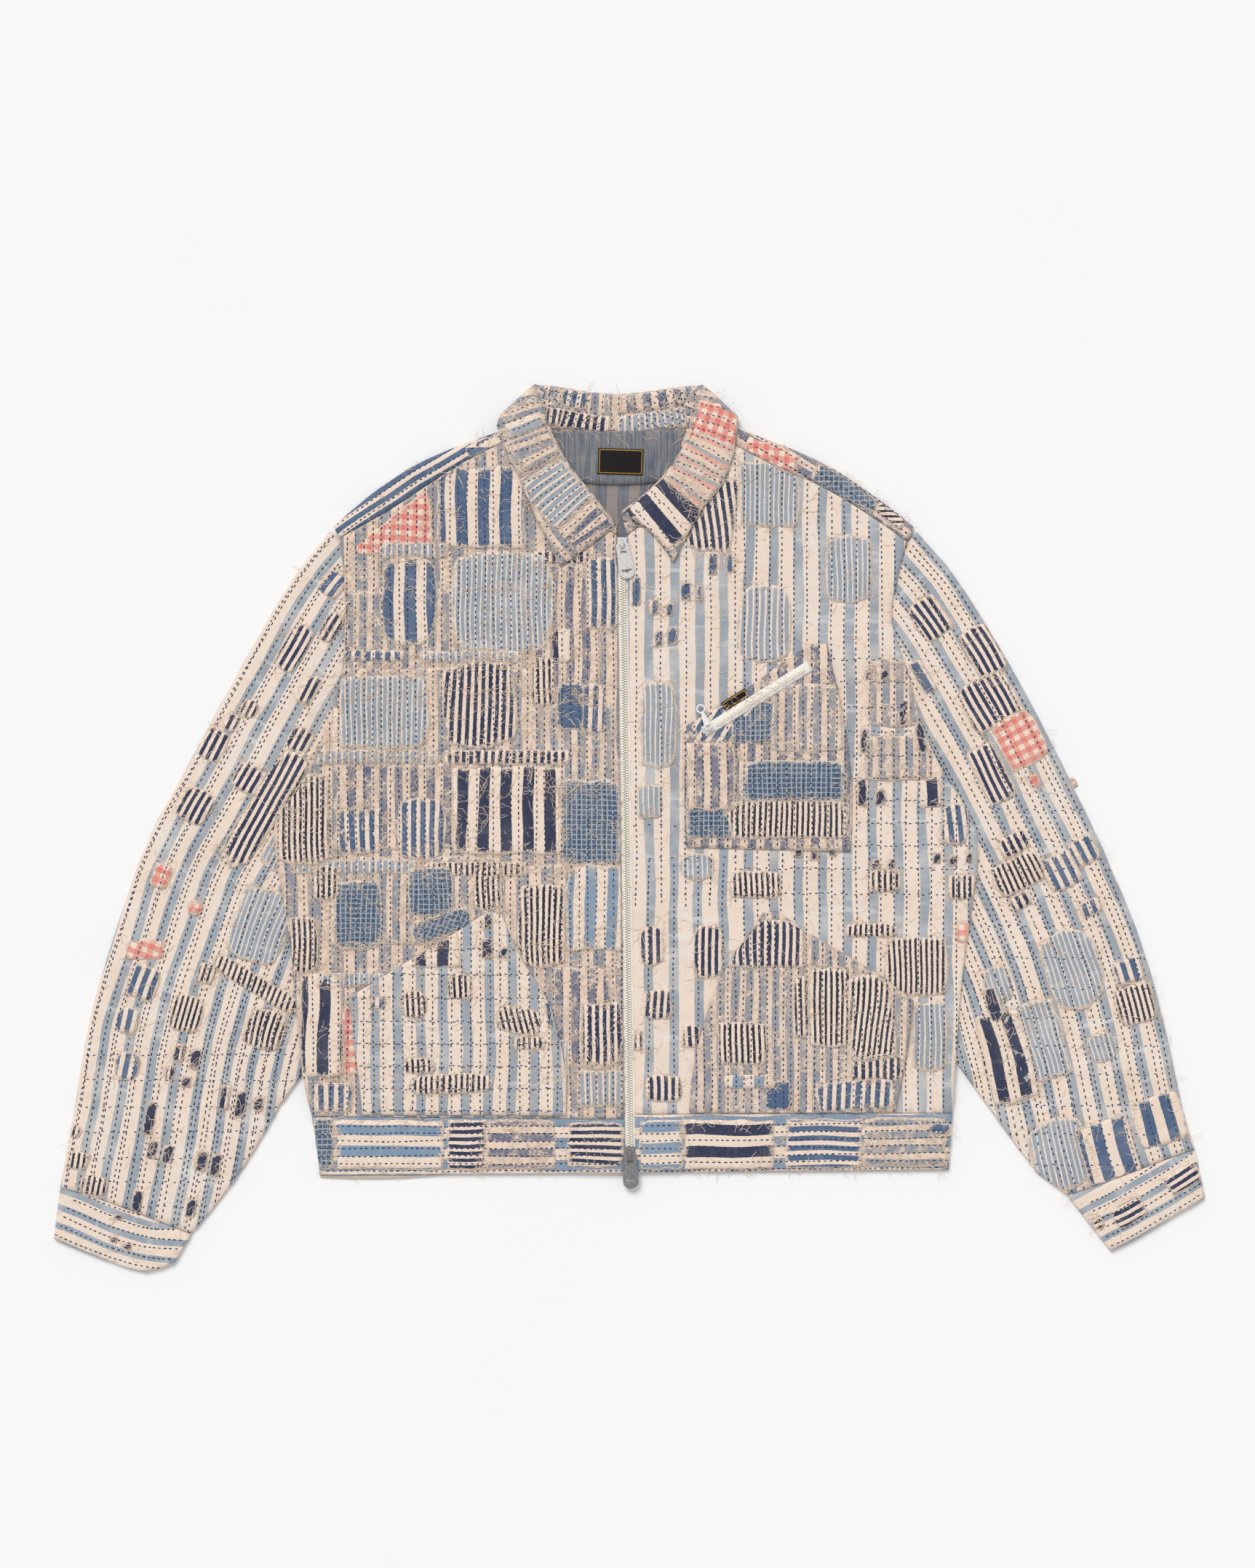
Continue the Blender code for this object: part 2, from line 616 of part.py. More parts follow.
def front_rows(neck, sides, side):
    # Ends of every row of a front, with a corner where the neck seam meets the zip.
    lower = [neck[-1]] + [(x, y, zip_x(zip_y) + side * FRONT_TO_ZIP, zip_y) for x, y, zip_y in sides]
    return refine(neck, FRONT_STEPS)[:-1] + refine(lower, FRONT_STEPS)


def add_front(name, rows, supports):
    grid = []
    for outer_x, outer_y, inner_x, inner_y in rows:
        line = []
        for share in FRONT_COLUMNS:
            x, y = mix((outer_x, outer_y), (inner_x, inner_y), share)
            low = rest_on(supports, x, y, PANEL_REACH)
            raised = fold_height(FRONT_FOLDS, x, y) + SHOULDER_PUFF * smooth_step(y, 200.0, 260.0)
            room = WALL + LARGEST_HOLLOW + back_lift(x, y) - low
            line.append((x, y, low + min(raised, max(room, 0.0))))
        grid.append(line)
    add_panel(name, grid, WALL, "patched_cloth")
    return grid


def add_resting(name, table, steps, spans, wall, finish, supports, reach, dip=0.0):
    # A flat piece between the two ends of each row, lying on its supports.
    rows = refine(table, steps)
    grid = []
    for index, (x0, y0, x1, y1) in enumerate(rows):
        line = []
        for span in range(spans + 1):
            share = span / spans
            x, y = mix((x0, y0), (x1, y1), share)
            y -= dip * math.sin(math.pi * share) * index / (len(rows) - 1)
            line.append((x, y, rest_on(supports, x, y, reach)))
        grid.append(line)
    add_panel(name, grid, wall, finish)


def add_band(name, corners, spans, wall, supports, sag=0.0):
    top_outer, top_inner, low_outer, low_inner = corners
    grid = []
    for row in range(3):
        line = []
        for span in range(spans + 1):
            share = span / spans
            x, y = mix(mix(top_outer, top_inner, share), mix(low_outer, low_inner, share), row / 2)
            if sag and row == 2:
                start, end = BACK_BAND_SAG_SPAN
                inside = min(max((x - start) / (end - start), 0.0), 1.0)
                y -= sag * math.sin(math.pi * inside) ** 0.5
            line.append((x, y, rest_on(supports, x, y, BAND_REACH) if supports else 0.0))
        grid.append(line)
    add_panel(name, grid, wall, "band_cloth")


def add_yoke(name, front, line):
    # A strip folded round the shoulder: its upper leg meets the front, its lower leg meets the back.
    outer = []
    inner = []
    half = WALL / 2
    for row, (seam, edge, back) in zip(front, line):
        high = row[0][2] + half
        low = back_lift(*back) + half
        middle = (high + low) / 2
        turn = (high - low) / 2
        near_upper = toward(edge, seam, turn + half)
        near_lower = toward(edge, back, turn + half)
        inside = toward(edge, seam, WALL)
        outer.append([(*seam, high + half), (*near_upper, high + half), (*edge, middle),
                      (*near_lower, low - half), (*back, low - half)])
        inner.append([(*seam, high - half), (*near_upper, high - half), (*inside, middle),
                      (*near_lower, low + half), (*back, low + half)])
    add_shell(name, outer, inner, "patched_cloth")


def collar_stations(fronts):
    # Every section of the collar from the right leaf's end, round the neck, to the left leaf's end.
    # Each is seam, crease, edge, the two heights at the crease, turn in degrees and bow.
    stations = []

    def add_leaf(front, leaf, bow):
        rows = []
        inner = [line[-1] for line in front[:NECK_ROWS * FRONT_STEPS + 1]]
        for point, row in zip(inner, refine(leaf, FRONT_STEPS)):
            crease = row[0:2]
            seam = toward(point[:2], NECK_CENTRE, LEAF_SEAM)
            rows.append([seam, crease, row[2:4], row[4], row[4] + LEAF_RISE, 0.0, 0.0])
        rows[-1][6] = bow
        return rows

    def between(flat, fold, share, turn):
        places = [mix(a, b, share) for a, b in zip(flat[:3], fold[:3])]
        heights = mix(flat[3:5], fold[3:5], FOLD_SIDE_DROP)
        return [*places, *heights, turn, 0.0]

    right = add_leaf(fronts[0], LEAF_RIGHT, LEAF_BOWS[0])
    left = add_leaf(fronts[1], LEAF_LEFT, LEAF_BOWS[1])
    back = [[row[0:2], row[2:4], row[4:6], BACK_STAND_Z, BACK_FALL_Z, 180.0, 0.0]
            for row in refine(COLLAR_BACK, 2)]
    folds = [[row[0:2], row[2:4], row[4:6], NECK_FOLD_Z, NECK_FOLD_Z, 90.0, 0.0]
             for row in (NECK_FOLD_RIGHT, NECK_FOLD_LEFT)]
    stations += right[::-1]
    stations.append(between(right[0], folds[0], FOLD_SIDE_STATION, 40.0))
    stations.append(folds[0])
    stations.append(between(back[0], folds[0], FOLD_SIDE_STATION, 140.0))
    stations += back
    stations.append(between(back[-1], folds[1], FOLD_SIDE_STATION, 140.0))
    stations.append(folds[1])
    stations.append(between(left[0], folds[1], FOLD_SIDE_STATION, 40.0))
    stations += left
    return stations


def side_of(start, end, away_from):
    # The level unit vector square to a line, on the side that faces away from a point.
    x = end[1] - start[1]
    y = start[0] - end[0]
    length = math.hypot(x, y)
    middle = mix(start, end, 0.5)
    sign = 1.0 if x * (middle[0] - away_from[0]) + y * (middle[1] - away_from[1]) > 0 else -1.0
    return (x / length * sign, y / length * sign)


def add_collar(fronts):
    half = COLLAR_WALL / 2
    under = ("back_panel", "neck_facing", "zip_tape_right", "zip_tape_left")
    over = ("front_right", "front_left", "shoulder_yoke_right", "shoulder_yoke_left")
    outer = []
    inner = []
    for seam, crease, edge, stand_z, fall_z, turn, bow in collar_stations(fronts):
        cosine = math.cos(math.radians(turn))
        sine = math.sin(math.radians(turn))
        stand_side = side_of(seam, crease, NECK_CENTRE)
        fall_side = side_of(crease, edge, NECK_CENTRE)
        stand_out = (-stand_side[0] * sine, -stand_side[1] * sine, -cosine)
        fall_out = (fall_side[0] * sine, fall_side[1] * sine, cosine)
        middle = seam if turn == 0.0 else mix(seam, edge, 0.5)
        reach = math.dist(crease, middle)
        tip_out = ((crease[0] - middle[0]) / reach, (crease[1] - middle[1]) / reach, 0.0)
        path = []
        for share in STAND_SHARES:
            place = mix(seam, crease, share)
            if turn == 180.0:
                height = BACK_SEAM_Z + (stand_z - BACK_SEAM_Z) * share
            elif turn == 0.0:
                height = rest_on(under, *place, STAND_REACH) + half
                height = max(height, min(stand_z, height + STAND_CLIMB * share))
            else:
                height = stand_z
            path.append((*place, height, stand_out))
        near = max(path[-1][2], stand_z) if turn == 0.0 else stand_z
        fall_near = fall_z
        if turn == 0.0:
            fall_near = max(near + fall_z - stand_z, rest_on(over, *crease, COLLAR_REACH) + half)
        near_crease = FOLD_NEARS.get(turn, abs(fall_near - near) / 2 + half)
        path.append((*toward(crease, seam, near_crease), near, stand_out))
        path.append((*crease, (near + fall_near) / 2, tip_out))
        path.append((*toward(crease, edge, near_crease), fall_near, fall_out))
        for share in FALL_SHARES:
            place = mix(crease, edge, share)
            swell = 4.0 * share * (1.0 - share) * bow
            place = (place[0] - fall_side[0] * swell, place[1] - fall_side[1] * swell)
            height = fall_near
            if turn == 0.0:
                low = rest_on(over, *place, COLLAR_REACH) + half
                height = max(low, fall_near - smooth_step(share, *FALL_DESCENT) * (fall_near - low))
            path.append((*place, height, fall_out))
        tip_wall = FOLD_NEARS[turn] * FOLD_TIP_SHARE if turn in FOLD_NEARS else COLLAR_WALL
        outer_ring = []
        inner_ring = []
        for index, (x, y, z, out) in enumerate(path):
            if index == TIP_INDEX:
                outer_ring.append((x, y, z))
                inner_ring.append((x - out[0] * tip_wall, y - out[1] * tip_wall, z))
            else:
                outer_ring.append((x + out[0] * half, y + out[1] * half, z + out[2] * half))
                inner_ring.append((x - out[0] * half, y - out[1] * half, z - out[2] * half))
        outer.append(outer_ring)
        inner.append(inner_ring)
    add_shell("collar", outer, inner, "patched_cloth")


def add_strip(name, start, end, width, wall, rows, supports, finish):
    # A straight strip of a given width lying on its supports.
    length = math.dist(start, end)
    side = ((start[1] - end[1]) / length, (end[0] - start[0]) / length)
    grid = []
    for row in range(rows + 1):
        x, y = mix(start, end, row / rows)
        ends = [(x + side[0] * width * part, y + side[1] * width * part) for part in (-0.5, 0.5)]
        height = max(rest_on(supports, *place, STRIP_REACH) for place in ends)
        grid.append([(*place, height) for place in ends])
    add_panel(name, grid, wall, finish)


def add_label(name, sizes, wall, supports, finish):
    x, y, length, height, turn = sizes
    angle = math.radians(turn)
    start = (x - math.cos(angle) * length / 2, y - math.sin(angle) * length / 2)
    end = (x + math.cos(angle) * length / 2, y + math.sin(angle) * length / 2)
    add_strip(name, start, end, height, wall, 3, supports, finish)


def box_points(middle, direction, length, width, low, high):
    # Corners of a block that runs along a level direction.
    along = (direction[0] * length / 2, direction[1] * length / 2)
    across = (-direction[1] * width / 2, direction[0] * width / 2)
    plan = [(middle[0] + along[0] * a + across[0] * b, middle[1] + along[1] * a + across[1] * b)
            for a, b in ((-1, -1), (1, -1), (1, 1), (-1, 1))]
    return [(x, y, low) for x, y in plan] + [(x, y, high) for x, y in plan]


def add_slider(name, middle, direction, size, low, arch_direction, arch_sizes, finish):
    # The slider's block with an arch on it, whose window takes the pull's bar.
    window, window_height, bar, arch_width, arch_length = arch_sizes
    length, width, wall = size
    top = low + wall
    block = add_solid(name, box_points(middle, direction, length, width, low, top), BOX_FACES, finish)
    profile = (
        (-arch_length / 2, top - ARCH_SUNK), (-window / 2, top - ARCH_SUNK), (-window / 2, top + window_height),
        (window / 2, top + window_height), (window / 2, top - ARCH_SUNK), (arch_length / 2, top - ARCH_SUNK),
        (arch_length / 2, top + window_height), (arch_length / 2 - bar, top + window_height + bar),
        (-arch_length / 2 + bar, top + window_height + bar), (-arch_length / 2, top + window_height),
    )
    points = []
    for side in (-0.5, 0.5):
        for along, z in profile:
            x = middle[0] + arch_direction[0] * along - arch_direction[1] * arch_width * side
            y = middle[1] + arch_direction[1] * along + arch_direction[0] * arch_width * side
            points.append((x, y, z))
    count = len(profile)
    faces = [tuple(range(count)), tuple(range(count, 2 * count))]
    faces += [(index, (index + 1) % count, (index + 1) % count + count, index + count) for index in range(count)]
    arch = add_solid(name + "_arch", points, faces, finish)
    joined = block.modifiers.new("join", "BOOLEAN")
    joined.operation = "UNION"
    joined.solver = "EXACT"
    joined.object = arch
    depsgraph = bpy.context.evaluated_depsgraph_get()
    mesh = bpy.data.meshes.new_from_object(block.evaluated_get(depsgraph))
    block.modifiers.clear()
    block.data = mesh
    bpy.data.objects.remove(arch, do_unlink=True)


def rounded_outline(widths):
    # Mirrored outline from distances along a pull and half widths there.
    return [(along, half) for along, half in widths] + [(along, -half) for along, half in reversed(widths)]


def oval(middle, length, width, count, start=0.0, end=360.0):
    points = []
    for step in range(count):
        angle = math.radians(start + (end - start) * step / (count if end - start == 360.0 else count - 1))
        points.append((middle + length / 2 * math.cos(angle), width / 2 * math.sin(angle)))
    return points


def add_pull(name, hinge, tip, drop, outline, holes, wall, finish):
    # A flat pull with holes; along runs from its hinge to its tip, and drop is how far the tip lies lower.
    reach = math.dist(hinge[:2], tip)
    direction = ((tip[0] - hinge[0]) / reach, (tip[1] - hinge[1]) / reach)
    slope = math.asin(drop / reach)
    loops = [outline, *holes]
    flat = [[Vector((a, b, 0.0)) for a, b in loop] for loop in loops]
    triangles = tessellate_polygon(flat)
    plan = [point for loop in loops for point in loop]
    points = []
    for level in (-0.5, 0.5):
        for along, across in plan:
            run = along * math.cos(slope) + level * wall * math.sin(slope)
            rise = level * wall * math.cos(slope) - along * math.sin(slope)
            x = hinge[0] + direction[0] * run - direction[1] * across
            y = hinge[1] + direction[1] * run + direction[0] * across
            points.append((x, y, hinge[2] + rise))
    count = len(plan)
    faces = [tuple(triangle) for triangle in triangles]
    faces += [tuple(index + count for index in triangle) for triangle in triangles]
    first = 0
    for loop in loops:
        size = len(loop)
        for index in range(size):
            a = first + index
            b = first + (index + 1) % size
            faces.append((a, b, b + count, a + count))
        first += size
    add_solid(name, points, faces, finish)


def add_front_zip():
    add_tape("zip_tape_right", -1.0)
    add_tape("zip_tape_left", 1.0)
    chain_z = TAPE_Z + TAPE_WALL + GAP
    ends = (SLIDER_TOP_Y - SLIDER_LENGTH / 2 - GAP, SLIDER_BOTTOM_Y + SLIDER_LENGTH / 2 + GAP)
    rows = []
    for y in spread([(ends[0],), (ends[1],)], 4):
        middle = zip_x(y[0])
        rows.append([(middle - CHAIN_WIDTH / 2, y[0], chain_z), (middle + CHAIN_WIDTH / 2, y[0], chain_z)])
    add_panel("zip_chain", rows, CHAIN_WALL, "light_metal")
    size = (SLIDER_LENGTH, SLIDER_WIDTH, SLIDER_WALL)
    arch = (ARCH_WINDOW, ARCH_WINDOW_HEIGHT, ARCH_BAR, ARCH_WIDTH, ARCH_LENGTH)
    lean = (zip_x(0.0) - zip_x(1.0), -1.0)
    hinge_z = chain_z + SLIDER_WALL + ARCH_WINDOW_HEIGHT / 2
    outline = rounded_outline(PULL_HALF_WIDTHS)
    holes = (PULL_EYE, oval(*PULL_MOON, MOON_POINTS, -90.0, 90.0))
    for end, y, tip, finish in (("top", SLIDER_TOP_Y, TOP_PULL_TIP, "light_metal"),
                                ("bottom", SLIDER_BOTTOM_Y, BOTTOM_PULL_TIP, "dark_metal")):
        middle = (zip_x(y), y)
        add_slider("zip_slider_" + end, middle, lean, size, chain_z, lean, arch, finish)
        add_pull("zip_pull_" + end, (*middle, hinge_z), tip, PULL_DROP, outline, holes, PULL_WALL, finish)


def add_pocket_zip():
    run = math.dist(POCKET_ZIP_START, POCKET_ZIP_END)
    direction = ((POCKET_ZIP_END[0] - POCKET_ZIP_START[0]) / run, (POCKET_ZIP_END[1] - POCKET_ZIP_START[1]) / run)
    add_strip("pocket_zip_tape", POCKET_ZIP_START, POCKET_ZIP_END, POCKET_TAPE_WIDTH, POCKET_TAPE_WALL, 6,
              ("chest_pocket",), "zip_tape")
    slider_middle = toward(POCKET_ZIP_START, POCKET_ZIP_END, POCKET_SLIDER_ALONG)
    length, width, wall = POCKET_SLIDER_SIZE
    chain_start = toward(POCKET_ZIP_START, POCKET_ZIP_END, POCKET_SLIDER_ALONG + length / 2 + GAP)
    chain_end = toward(POCKET_ZIP_END, POCKET_ZIP_START, 4.0)
    add_strip("pocket_zip_chain", chain_start, chain_end, POCKET_CHAIN_WIDTH, POCKET_CHAIN_WALL, 5,
              ("pocket_zip_tape",), "light_metal")
    low = rest_on(("pocket_zip_tape",), *slider_middle, SLIDER_REACH)
    reach = math.dist(slider_middle, POCKET_RING_CENTRE)
    pull_direction = tuple((b - a) / reach for a, b in zip(slider_middle, POCKET_RING_CENTRE))
    add_slider("pocket_zip_slider", slider_middle, direction, POCKET_SLIDER_SIZE, low, pull_direction, POCKET_ARCH,
               "light_metal")
    hinge = (*slider_middle, low + wall + POCKET_ARCH[1] / 2)
    tip = toward(slider_middle, POCKET_RING_CENTRE, reach + POCKET_RING_RADIUS)
    half, front, back = POCKET_BAIL
    waist = reach - POCKET_RING_RADIUS * math.cos(math.radians(RING_MOUTH))
    ring = oval(reach, 2 * POCKET_RING_RADIUS, 2 * POCKET_RING_RADIUS, 15, RING_MOUTH - 180.0, 180.0 - RING_MOUTH)
    outline = [(back, half), (front, half), (waist, POCKET_RING_WIRE)] + ring[::-1]
    outline += [(waist, -POCKET_RING_WIRE), (front, -half), (back, -half)]
    inside = 2 * (POCKET_RING_RADIUS - POCKET_RING_WIRE)
    hole = oval(reach, inside, inside, 12)
    add_pull("pocket_zip_pull", hinge, tip, POCKET_PULL_DROP, outline, (POCKET_EYE, hole), POCKET_PULL_WALL,
             "light_metal")


def main():
    clear_scene()
    right_sleeve = add_sleeve("sleeve_right", SLEEVE_RIGHT)
    left_sleeve = add_sleeve("sleeve_left", SLEEVE_LEFT)
    add_cuff("cuff_right", right_sleeve, CUFF_RIGHT_END)
    add_cuff("cuff_left", left_sleeve, CUFF_LEFT_END)
    right_rows = front_rows(NECK_RIGHT, SIDE_RIGHT, -1.0)
    left_rows = front_rows(NECK_LEFT, SIDE_LEFT, 1.0)
    right_yoke = yoke_line(right_rows, SHOULDER_RIGHT)
    left_yoke = yoke_line(left_rows, SHOULDER_LEFT)
    add_back(right_sleeve, left_sleeve, right_yoke, left_yoke)
    add_band("hem_band_back", BAND_BACK, 22, BACK_BAND_WALL, (), BACK_BAND_SAG)
    add_front_zip()
    below = ("back_panel", "hem_band_back")
    right_front = add_front("front_right", right_rows, (*below, "sleeve_right", "zip_tape_right"))
    left_front = add_front("front_left", left_rows, (*below, "sleeve_left", "zip_tape_left"))
    add_band("hem_band_right", BAND_RIGHT, 11, BAND_WALL, ("hem_band_back", "zip_tape_right"))
    add_band("hem_band_left", BAND_LEFT, 11, BAND_WALL, ("hem_band_back", "zip_tape_left"))
    add_yoke("shoulder_yoke_right", right_front, right_yoke)
    add_yoke("shoulder_yoke_left", left_front, left_yoke)
    add_resting("neck_facing", NECK_FACING, 2, FACING_SPANS, FACING_WALL, "facing_cloth", ("back_panel",),
                COLLAR_REACH, FACING_DIP)
    add_collar((right_front, left_front))
    pockets = (
        ("hand_pocket_right", HAND_POCKET_RIGHT, "front_right"),
        ("hand_pocket_left", HAND_POCKET_LEFT, "front_left"),
        ("chest_pocket", CHEST_POCKET, "front_left"),
    )
    for name, table, front in pockets:
        add_resting(name, table, 1, POCKET_SPANS, POCKET_WALL, "pocket_cloth", (front,), PANEL_REACH)
    add_label("neck_label", NECK_LABEL, LABEL_WALL, ("neck_facing",), "woven_label")
    add_pocket_zip()
    add_label("pocket_label", POCKET_LABEL, LABEL_WALL, ("chest_pocket", "front_left"), "woven_label")


main()
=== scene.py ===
import math
import random

import bmesh
import bpy
import numpy as np
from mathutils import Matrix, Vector, noise
from mathutils.bvhtree import BVHTree


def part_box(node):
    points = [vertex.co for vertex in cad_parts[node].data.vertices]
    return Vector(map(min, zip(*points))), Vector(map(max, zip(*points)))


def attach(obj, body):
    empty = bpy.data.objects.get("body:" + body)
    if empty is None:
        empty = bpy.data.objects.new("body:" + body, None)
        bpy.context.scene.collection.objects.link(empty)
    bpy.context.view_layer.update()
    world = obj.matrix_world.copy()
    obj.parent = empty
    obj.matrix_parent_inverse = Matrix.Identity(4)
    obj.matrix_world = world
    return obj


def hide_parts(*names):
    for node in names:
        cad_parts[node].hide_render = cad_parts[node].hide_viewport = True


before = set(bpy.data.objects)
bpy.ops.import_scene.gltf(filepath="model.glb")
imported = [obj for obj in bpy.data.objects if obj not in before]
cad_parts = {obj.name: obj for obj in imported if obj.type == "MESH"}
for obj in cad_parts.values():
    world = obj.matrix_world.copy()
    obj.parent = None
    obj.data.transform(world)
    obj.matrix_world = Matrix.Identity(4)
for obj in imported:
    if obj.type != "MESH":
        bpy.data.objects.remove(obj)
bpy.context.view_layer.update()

mm = 0.001
dice = random.Random(41)


def paint(red, green, blue):
    # Screen colour, 0 to 255, as the shader's linear colour
    shares = [value / 255 for value in (red, green, blue)]
    return (*(((share + 0.055) / 1.055) ** 2.4 if share > 0.04 else share / 12.92 for share in shares), 1.0)


cream = paint(244, 224, 206)
warmCream = paint(239, 214, 193)
fadedBlue = paint(160, 169, 178)
greyBlue = paint(152, 166, 178)
skyBlue = paint(128, 152, 176)
dustyBlue = paint(126, 138, 154)
royal = paint(74, 100, 134)
indigo = paint(66, 90, 118)
paleBlue = paint(168, 180, 188)
navy = paint(38, 48, 80)
inkNavy = paint(25, 31, 50)
peach = paint(234, 206, 182)
paleThread = paint(243, 224, 205)
red = paint(228, 96, 90)
pink = paint(240, 168, 150)
gold = paint(196, 150, 62)
black = (0, 0, 0, 1)
white = (1, 1, 1, 1)


# Shader nodes, written as sums

class Wire:
    def __init__(self, shades, socket):
        self.shades = shades
        self.socket = socket

    def maths(self, operation, *others):
        return self.shades.node("ShaderNodeMath", {"operation": operation}, (self, *others))

    def __add__(self, other):
        return self.maths("ADD", other)

    def __mul__(self, other):
        return self.maths("MULTIPLY", other)

    def __sub__(self, other):
        return self.maths("SUBTRACT", other)

    def __rsub__(self, other):
        return self.shades.node("ShaderNodeMath", {"operation": "SUBTRACT"}, (other, self))

    def __truediv__(self, other):
        return self.maths("DIVIDE", other)

    def __lt__(self, other):
        return self.maths("LESS_THAN", other)

    def __gt__(self, other):
        return self.maths("GREATER_THAN", other)

    def between(self, low, high):
        # Black below low and white above high
        return self.shades.ramp(self, ((low, black), (high, white)), "LINEAR")

    __radd__ = __add__
    __rmul__ = __mul__


class Shades:
    def __init__(self, name, roughness, metallic=0.0, sheen=0.0):
        self.material = bpy.data.materials.new(name)
        self.material.use_nodes = True
        self.tree = self.material.node_tree
        self.shader = self.tree.nodes["Principled BSDF"]
        self.shader.inputs["Roughness"].default_value = roughness
        self.shader.inputs["Metallic"].default_value = metallic
        self.shader.inputs["Sheen Weight"].default_value = sheen

    def node(self, kind, settings=None, sockets=(), output=0):
        made = self.tree.nodes.new(kind)
        for key, value in (settings or {}).items():
            if key == "stops":
                ramp = made.color_ramp
                while len(ramp.elements) < len(value):
                    ramp.elements.new(1.0)
                for element, (place, colour) in zip(ramp.elements, value):
                    element.position = place
                    element.color = colour
            elif key == "blend":
                made.color_ramp.interpolation = value
            else:
                setattr(made, key, value)
        pairs = sockets.items() if isinstance(sockets, dict) else enumerate(sockets)
        for key, value in pairs:
            if isinstance(value, Wire):
                self.tree.links.new(value.socket, made.inputs[key])
            else:
                made.inputs[key].default_value = value
        return Wire(self, made.outputs[output])

    def blend(self, share, first, second, how="MIX"):
        settings = {"data_type": "RGBA", "blend_type": how}
        return self.node("ShaderNodeMix", settings, {0: share, 6: first, 7: second}, 2)

    def vector(self, x, y, z=0.0):
        return self.node("ShaderNodeCombineXYZ", None, (x, y, z))

    def grain(self, place, scale, detail=2.0, rough=0.5):
        return self.node("ShaderNodeTexNoise", None,
                         {"Vector": place, "Scale": scale, "Detail": detail, "Roughness": rough})

    def ramp(self, share, stops, how="CONSTANT"):
        return self.node("ShaderNodeValToRGB", {"stops": stops, "blend": how}, (share,))

    def weave(self):
        # A point's place on its cloth, whole and split into across, along and rim
        place = self.node("ShaderNodeAttribute", {"attribute_name": "cloth"}, (), 1)
        split = self.node("ShaderNodeSeparateXYZ", None, (place,)).socket.node
        return place, [Wire(self, output) for output in split.outputs]

    def feed(self, name, wire):
        self.tree.links.new(wire.socket, self.shader.inputs[name])

    def bump(self, height, strength, distance):
        self.feed("Normal", self.node("ShaderNodeBump", None,
                                      {"Strength": strength, "Distance": distance, "Height": height}))


# What each cloth looks like. repeat is the stripes' repeat in mm, and stripes are where in it each colour
# starts. weft is a repeat, share, strength and colour across them. fade is how bleached it is, slub how
# strongly its uneven yarns show and fray how much loose gauze hangs on it.
cloths = {
    "wideStripe": {"repeat": 22.0, "stripes": ((0, cream), (0.62, fadedBlue)), "fade": 0.6, "fray": 0.08},
    "cuffStripe": {"repeat": 15.0, "stripes": ((0, cream), (0.64, greyBlue)), "fade": 0.5, "fray": 0.12},
    "brightStripe": {"repeat": 20.0, "stripes": ((0, cream), (0.58, fadedBlue)), "fade": 0.4, "fray": 0.07},
    "gauzeStripe": {"repeat": 21.0, "stripes": ((0, warmCream), (0.47, dustyBlue)), "fade": 0.15,
                    "fray": 0.7},
    "gauzeFine": {"repeat": 12.0, "stripes": ((0, warmCream), (0.42, dustyBlue)), "fade": 0.15, "fray": 0.7},
    "gauzeDark": {"repeat": 14.0, "stripes": ((0, warmCream), (0.48, paint(84, 98, 130))), "fade": 0.15,
                  "fray": 0.65},
    "gauzePink": {"repeat": 11.0, "stripes": ((0, warmCream), (0.5, fadedBlue), (0.72, pink)), "fade": 0.15,
                  "fray": 0.7},
    "fadedPin": {"repeat": 4.5, "stripes": ((0, cream), (0.27, greyBlue)), "fade": 0.25, "fray": 0.12},
    "bluePin": {"repeat": 5.4, "stripes": ((0, cream), (0.3, fadedBlue)), "fade": 0.15, "fray": 0.1},
    "royalWide": {"repeat": 19.0, "stripes": ((0, cream), (0.47, royal)), "fade": 0.12, "fray": 0.1},
    "royalPin": {"repeat": 8.6, "stripes": ((0, cream), (0.45, royal)), "fade": 0.12, "fray": 0.1},
    "royalCloth": {"repeat": 60.0, "stripes": ((0, royal), (0.96, cream)), "fade": 0.12, "fray": 0.1},
    "navyCloth": {"repeat": 60.0, "stripes": ((0, navy), (0.96, cream)), "fade": 0.05, "fray": 0.1},
    "navyWide": {"repeat": 19.5, "stripes": ((0, cream), (0.5, navy)), "fade": 0.06, "fray": 0.1},
    "navyPin": {"repeat": 6.4, "stripes": ((0, cream), (0.48, navy)), "fade": 0.06, "fray": 0.06},
    "inkPin": {"repeat": 4.9, "stripes": ((0, cream), (0.55, inkNavy)), "fade": 0.05, "fray": 0.08},
    "skyWide": {"repeat": 19.0, "stripes": ((0, cream), (0.5, skyBlue)), "fade": 0.12, "fray": 0.1},
    "indigoCheck": {"repeat": 4.4, "stripes": ((0, paleBlue), (0.22, indigo)),
                    "weft": (4.4, 0.22, 0.75, paleBlue), "fade": 0.1, "fray": 0.15},
    "redGingham": {"repeat": 9.5, "stripes": ((0, cream), (0.5, pink)), "weft": (9.5, 0.5, 0.62, red),
                   "fade": 0.1, "fray": 0.12},
    "chambray": {"repeat": 400.0, "stripes": ((0, paint(94, 104, 118)), (0.5, paint(100, 108, 120))),
                 "fade": 0.05, "slub": 0.6, "fray": 0.0},
    # The back's inside: the wide stripes painted darker and greyer, as painted shade where it shows at the
    # neck
    "backInside": {"repeat": 20.0, "stripes": ((0, paint(150, 140, 136)), (0.5, paint(104, 110, 126))),
                   "fade": 0.1, "slub": 0.4, "fray": 0.0},
}
